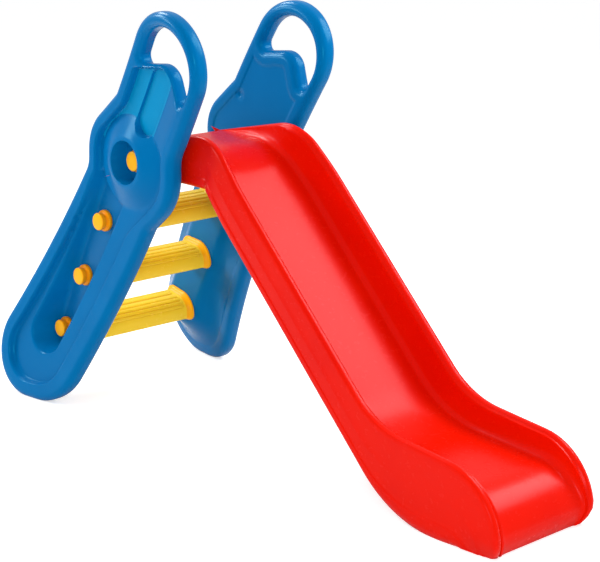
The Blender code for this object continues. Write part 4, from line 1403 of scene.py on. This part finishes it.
    def hub(self, side: Side, finishes: Finishes) -> Piece:
        """Makes one hub, which turns on the axle rod.

        Args:
            side: Which hub.
            finishes: The object's materials.

        Returns:
            The piece.
        """
        low, high, radius = self.hub_inner, self.hub_outer, self.hub_radius
        profile = [(AXLE_BORE, low), (radius - 0.006, low), (radius - 0.0045, low + 0.0015),
                   (radius - 0.004, low + 0.018), (radius - 0.001, low + 0.022),
                   (radius, low + 0.026), (radius, high - 0.0015), (radius - 0.0015, high),
                   (AXLE_BORE + 0.001, high), (AXLE_BORE, high - 0.001), (AXLE_BORE, low)]
        maker = MeshMaker()
        maker.turn([(r, y * side.value) for r, y in profile], AXLE_POINT, 64, caps=False)
        piece = maker.build(f"chute_hub_{side.label}", sharp_from=40.0)
        return dress(piece, Body.CHUTE, "red_plastic", finishes.chute)

    @staticmethod
    def settle(piece: Piece) -> None:
        """Turns a piece's evaluated shape into its own mesh, standing on the ground.

        Args:
            piece: The piece with its modifiers.
        """
        bpy.context.view_layer.update()
        graph = bpy.context.evaluated_depsgraph_get()
        mesh = bpy.data.meshes.new_from_object(piece.evaluated_get(graph))
        piece.modifiers.clear()
        piece.data = mesh
        for vert in mesh.vertices:
            vert.co.z = max(vert.co.z, 0.0)
        mesh.shade_smooth()
        mesh.set_sharp_from_angle(angle=math.radians(SHARP_ANGLE))


@dataclass
class Studio:
    """White floor, soft lamps and the camera at the photograph's angle."""

    camera_from_axle: Triple = (3.672, -2.825, 0.867)
    azimuth: float = math.radians(48.64)
    elevation: float = math.radians(15.14)
    lens: float = 97.93
    world_strength: float = 0.56
    floor_glow: float = 0.55
    floor_half: float = 14.0
    lamps: tuple[tuple[str, Triple, float, float], ...] = (
        ("key", (-3.0, -1.6, 2.6), 1.0, 54.0),
        ("band", (-2.5, -2.3, 1.7), 0.7, 20.0),
        ("front", (3.4, -2.7, 1.6), 1.2, 70.0),
        ("top", (1.12, 2.07, 2.75), 1.7, 80.0),
        ("rear", (-2.6, 0.10, 3.2), 1.0, 50.0))

    def floor(self) -> None:
        """Lays a pale floor whose glow, for camera rays alone, makes it white outside the shadow."""
        mesh = bpy.data.meshes.new("floor")
        size = self.floor_half
        mesh.from_pydata([(-size, -size, 0.0), (size, -size, 0.0), (size, size, 0.0),
                          (-size, size, 0.0)], [], [(0, 1, 2, 3)])
        floor = placed("floor", mesh)
        floor.location.z = -0.0005
        material = bpy.data.materials.new("pale_floor")
        sheet = NodeSheet(material)
        pale = sheet.fill(sheet.tree.nodes["Principled BSDF"],
                          {"Base Color": (0.80, 0.80, 0.80, 1.0), "Roughness": 0.9})
        glow = sheet.add("Emission", Color=(1.0, 1.0, 1.0, 1.0), Strength=self.floor_glow)
        total = sheet.add("AddShader")
        sheet.tree.links.new(pale.outputs["BSDF"], total.inputs[0])
        sheet.tree.links.new(glow.outputs["Emission"], total.inputs[1])
        sheet.show(total.outputs["Shader"], pale.outputs["BSDF"], "Material Output")
        mesh.materials.append(material)

    def world(self) -> None:
        """Sets even white surroundings, full white only where the camera sees them."""
        world = bpy.data.worlds.new("studio")
        bpy.context.scene.world = world
        sheet = NodeSheet(world)
        seen = sheet.fill(sheet.tree.nodes["Background"],
                          {"Color": (1.0, 1.0, 1.0, 1.0), "Strength": 1.0})
        lit = sheet.add("Background", Color=(0.98, 0.99, 1.0, 1.0), Strength=self.world_strength)
        sheet.show(seen.outputs["Background"], lit.outputs["Background"], "World Output")

    @staticmethod
    def lamp(name: str, place: Triple, size: float, power: float) -> None:
        """Hangs one square soft lamp that faces the object's middle.

        Args:
            name: Its name.
            place: Where it hangs.
            size: Length of its sides.
            power: Its power in watts.
        """
        light = bpy.data.lights.new(name, "AREA")
        light.shape = "SQUARE"
        light.size = size
        light.energy = power
        lamp = placed(name, light)
        lamp.location = place
        aim = Vector(place) - Vector((0.0, 0.0, 0.5))
        lamp.rotation_euler = aim.to_track_quat("Z", "Y").to_euler()

    def camera(self) -> None:
        """Sets up the camera."""
        data = bpy.data.cameras.new("camera")
        data.lens = self.lens
        data.sensor_width = 36.0
        camera = placed("camera", data)
        camera.location = PIVOT + Vector(self.camera_from_axle)
        back = Vector((math.sin(self.azimuth) * math.cos(self.elevation),
                       -math.cos(self.azimuth) * math.cos(self.elevation),
                       math.sin(self.elevation)))
        camera.rotation_euler = back.to_track_quat("Z", "Y").to_euler()
        bpy.context.scene.camera = camera

    def build(self) -> None:
        """Makes the whole stage."""
        self.floor()
        self.world()
        for name, place, size, power in self.lamps:
            self.lamp(name, place, size, power)
        self.camera()
        bpy.context.scene.view_settings.view_transform = "Standard"


def main() -> None:
    """Builds every sub-assembly in order."""
    logging.basicConfig(level=logging.INFO, format="%(name)s %(message)s")
    finishes = Finishes()
    layout = StepLayout()
    panel = SidePanel(layout)
    for side in Side:
        panel.build(side, finishes)
    for level in StepLevel:
        Step(level, layout, panel).build(finishes)
        for side in Side:
            node = f"step_{level.label}_cap_{side.label}"
            Cap(f"tenon_cap_{level.label}_{side.label}", node, side, layout.place(level), panel.web,
                panel.web_thickness, bore=TENON_BORE, reach=0.019).build(finishes)
    for side in Side:
        Cap(f"hub_cap_{side.label}", f"axle_cap_{side.label}", side, AXLE_POINT, panel.bow,
            panel.thickness / 2.0 - panel.pocket_depth, bore=AXLE_BORE, reach=0.0135,
            head_radius=0.0285, height=0.019).build(finishes)
    Chute().build(finishes)
    axle = frame["nodes"]["axle_rod"]
    axle.data.materials.clear()
    axle.data.materials.append(finishes.zinc)
    LOG.info("axle_rod: dressed in zinc")
    Studio().build()


if __name__ == "__main__":
    main()
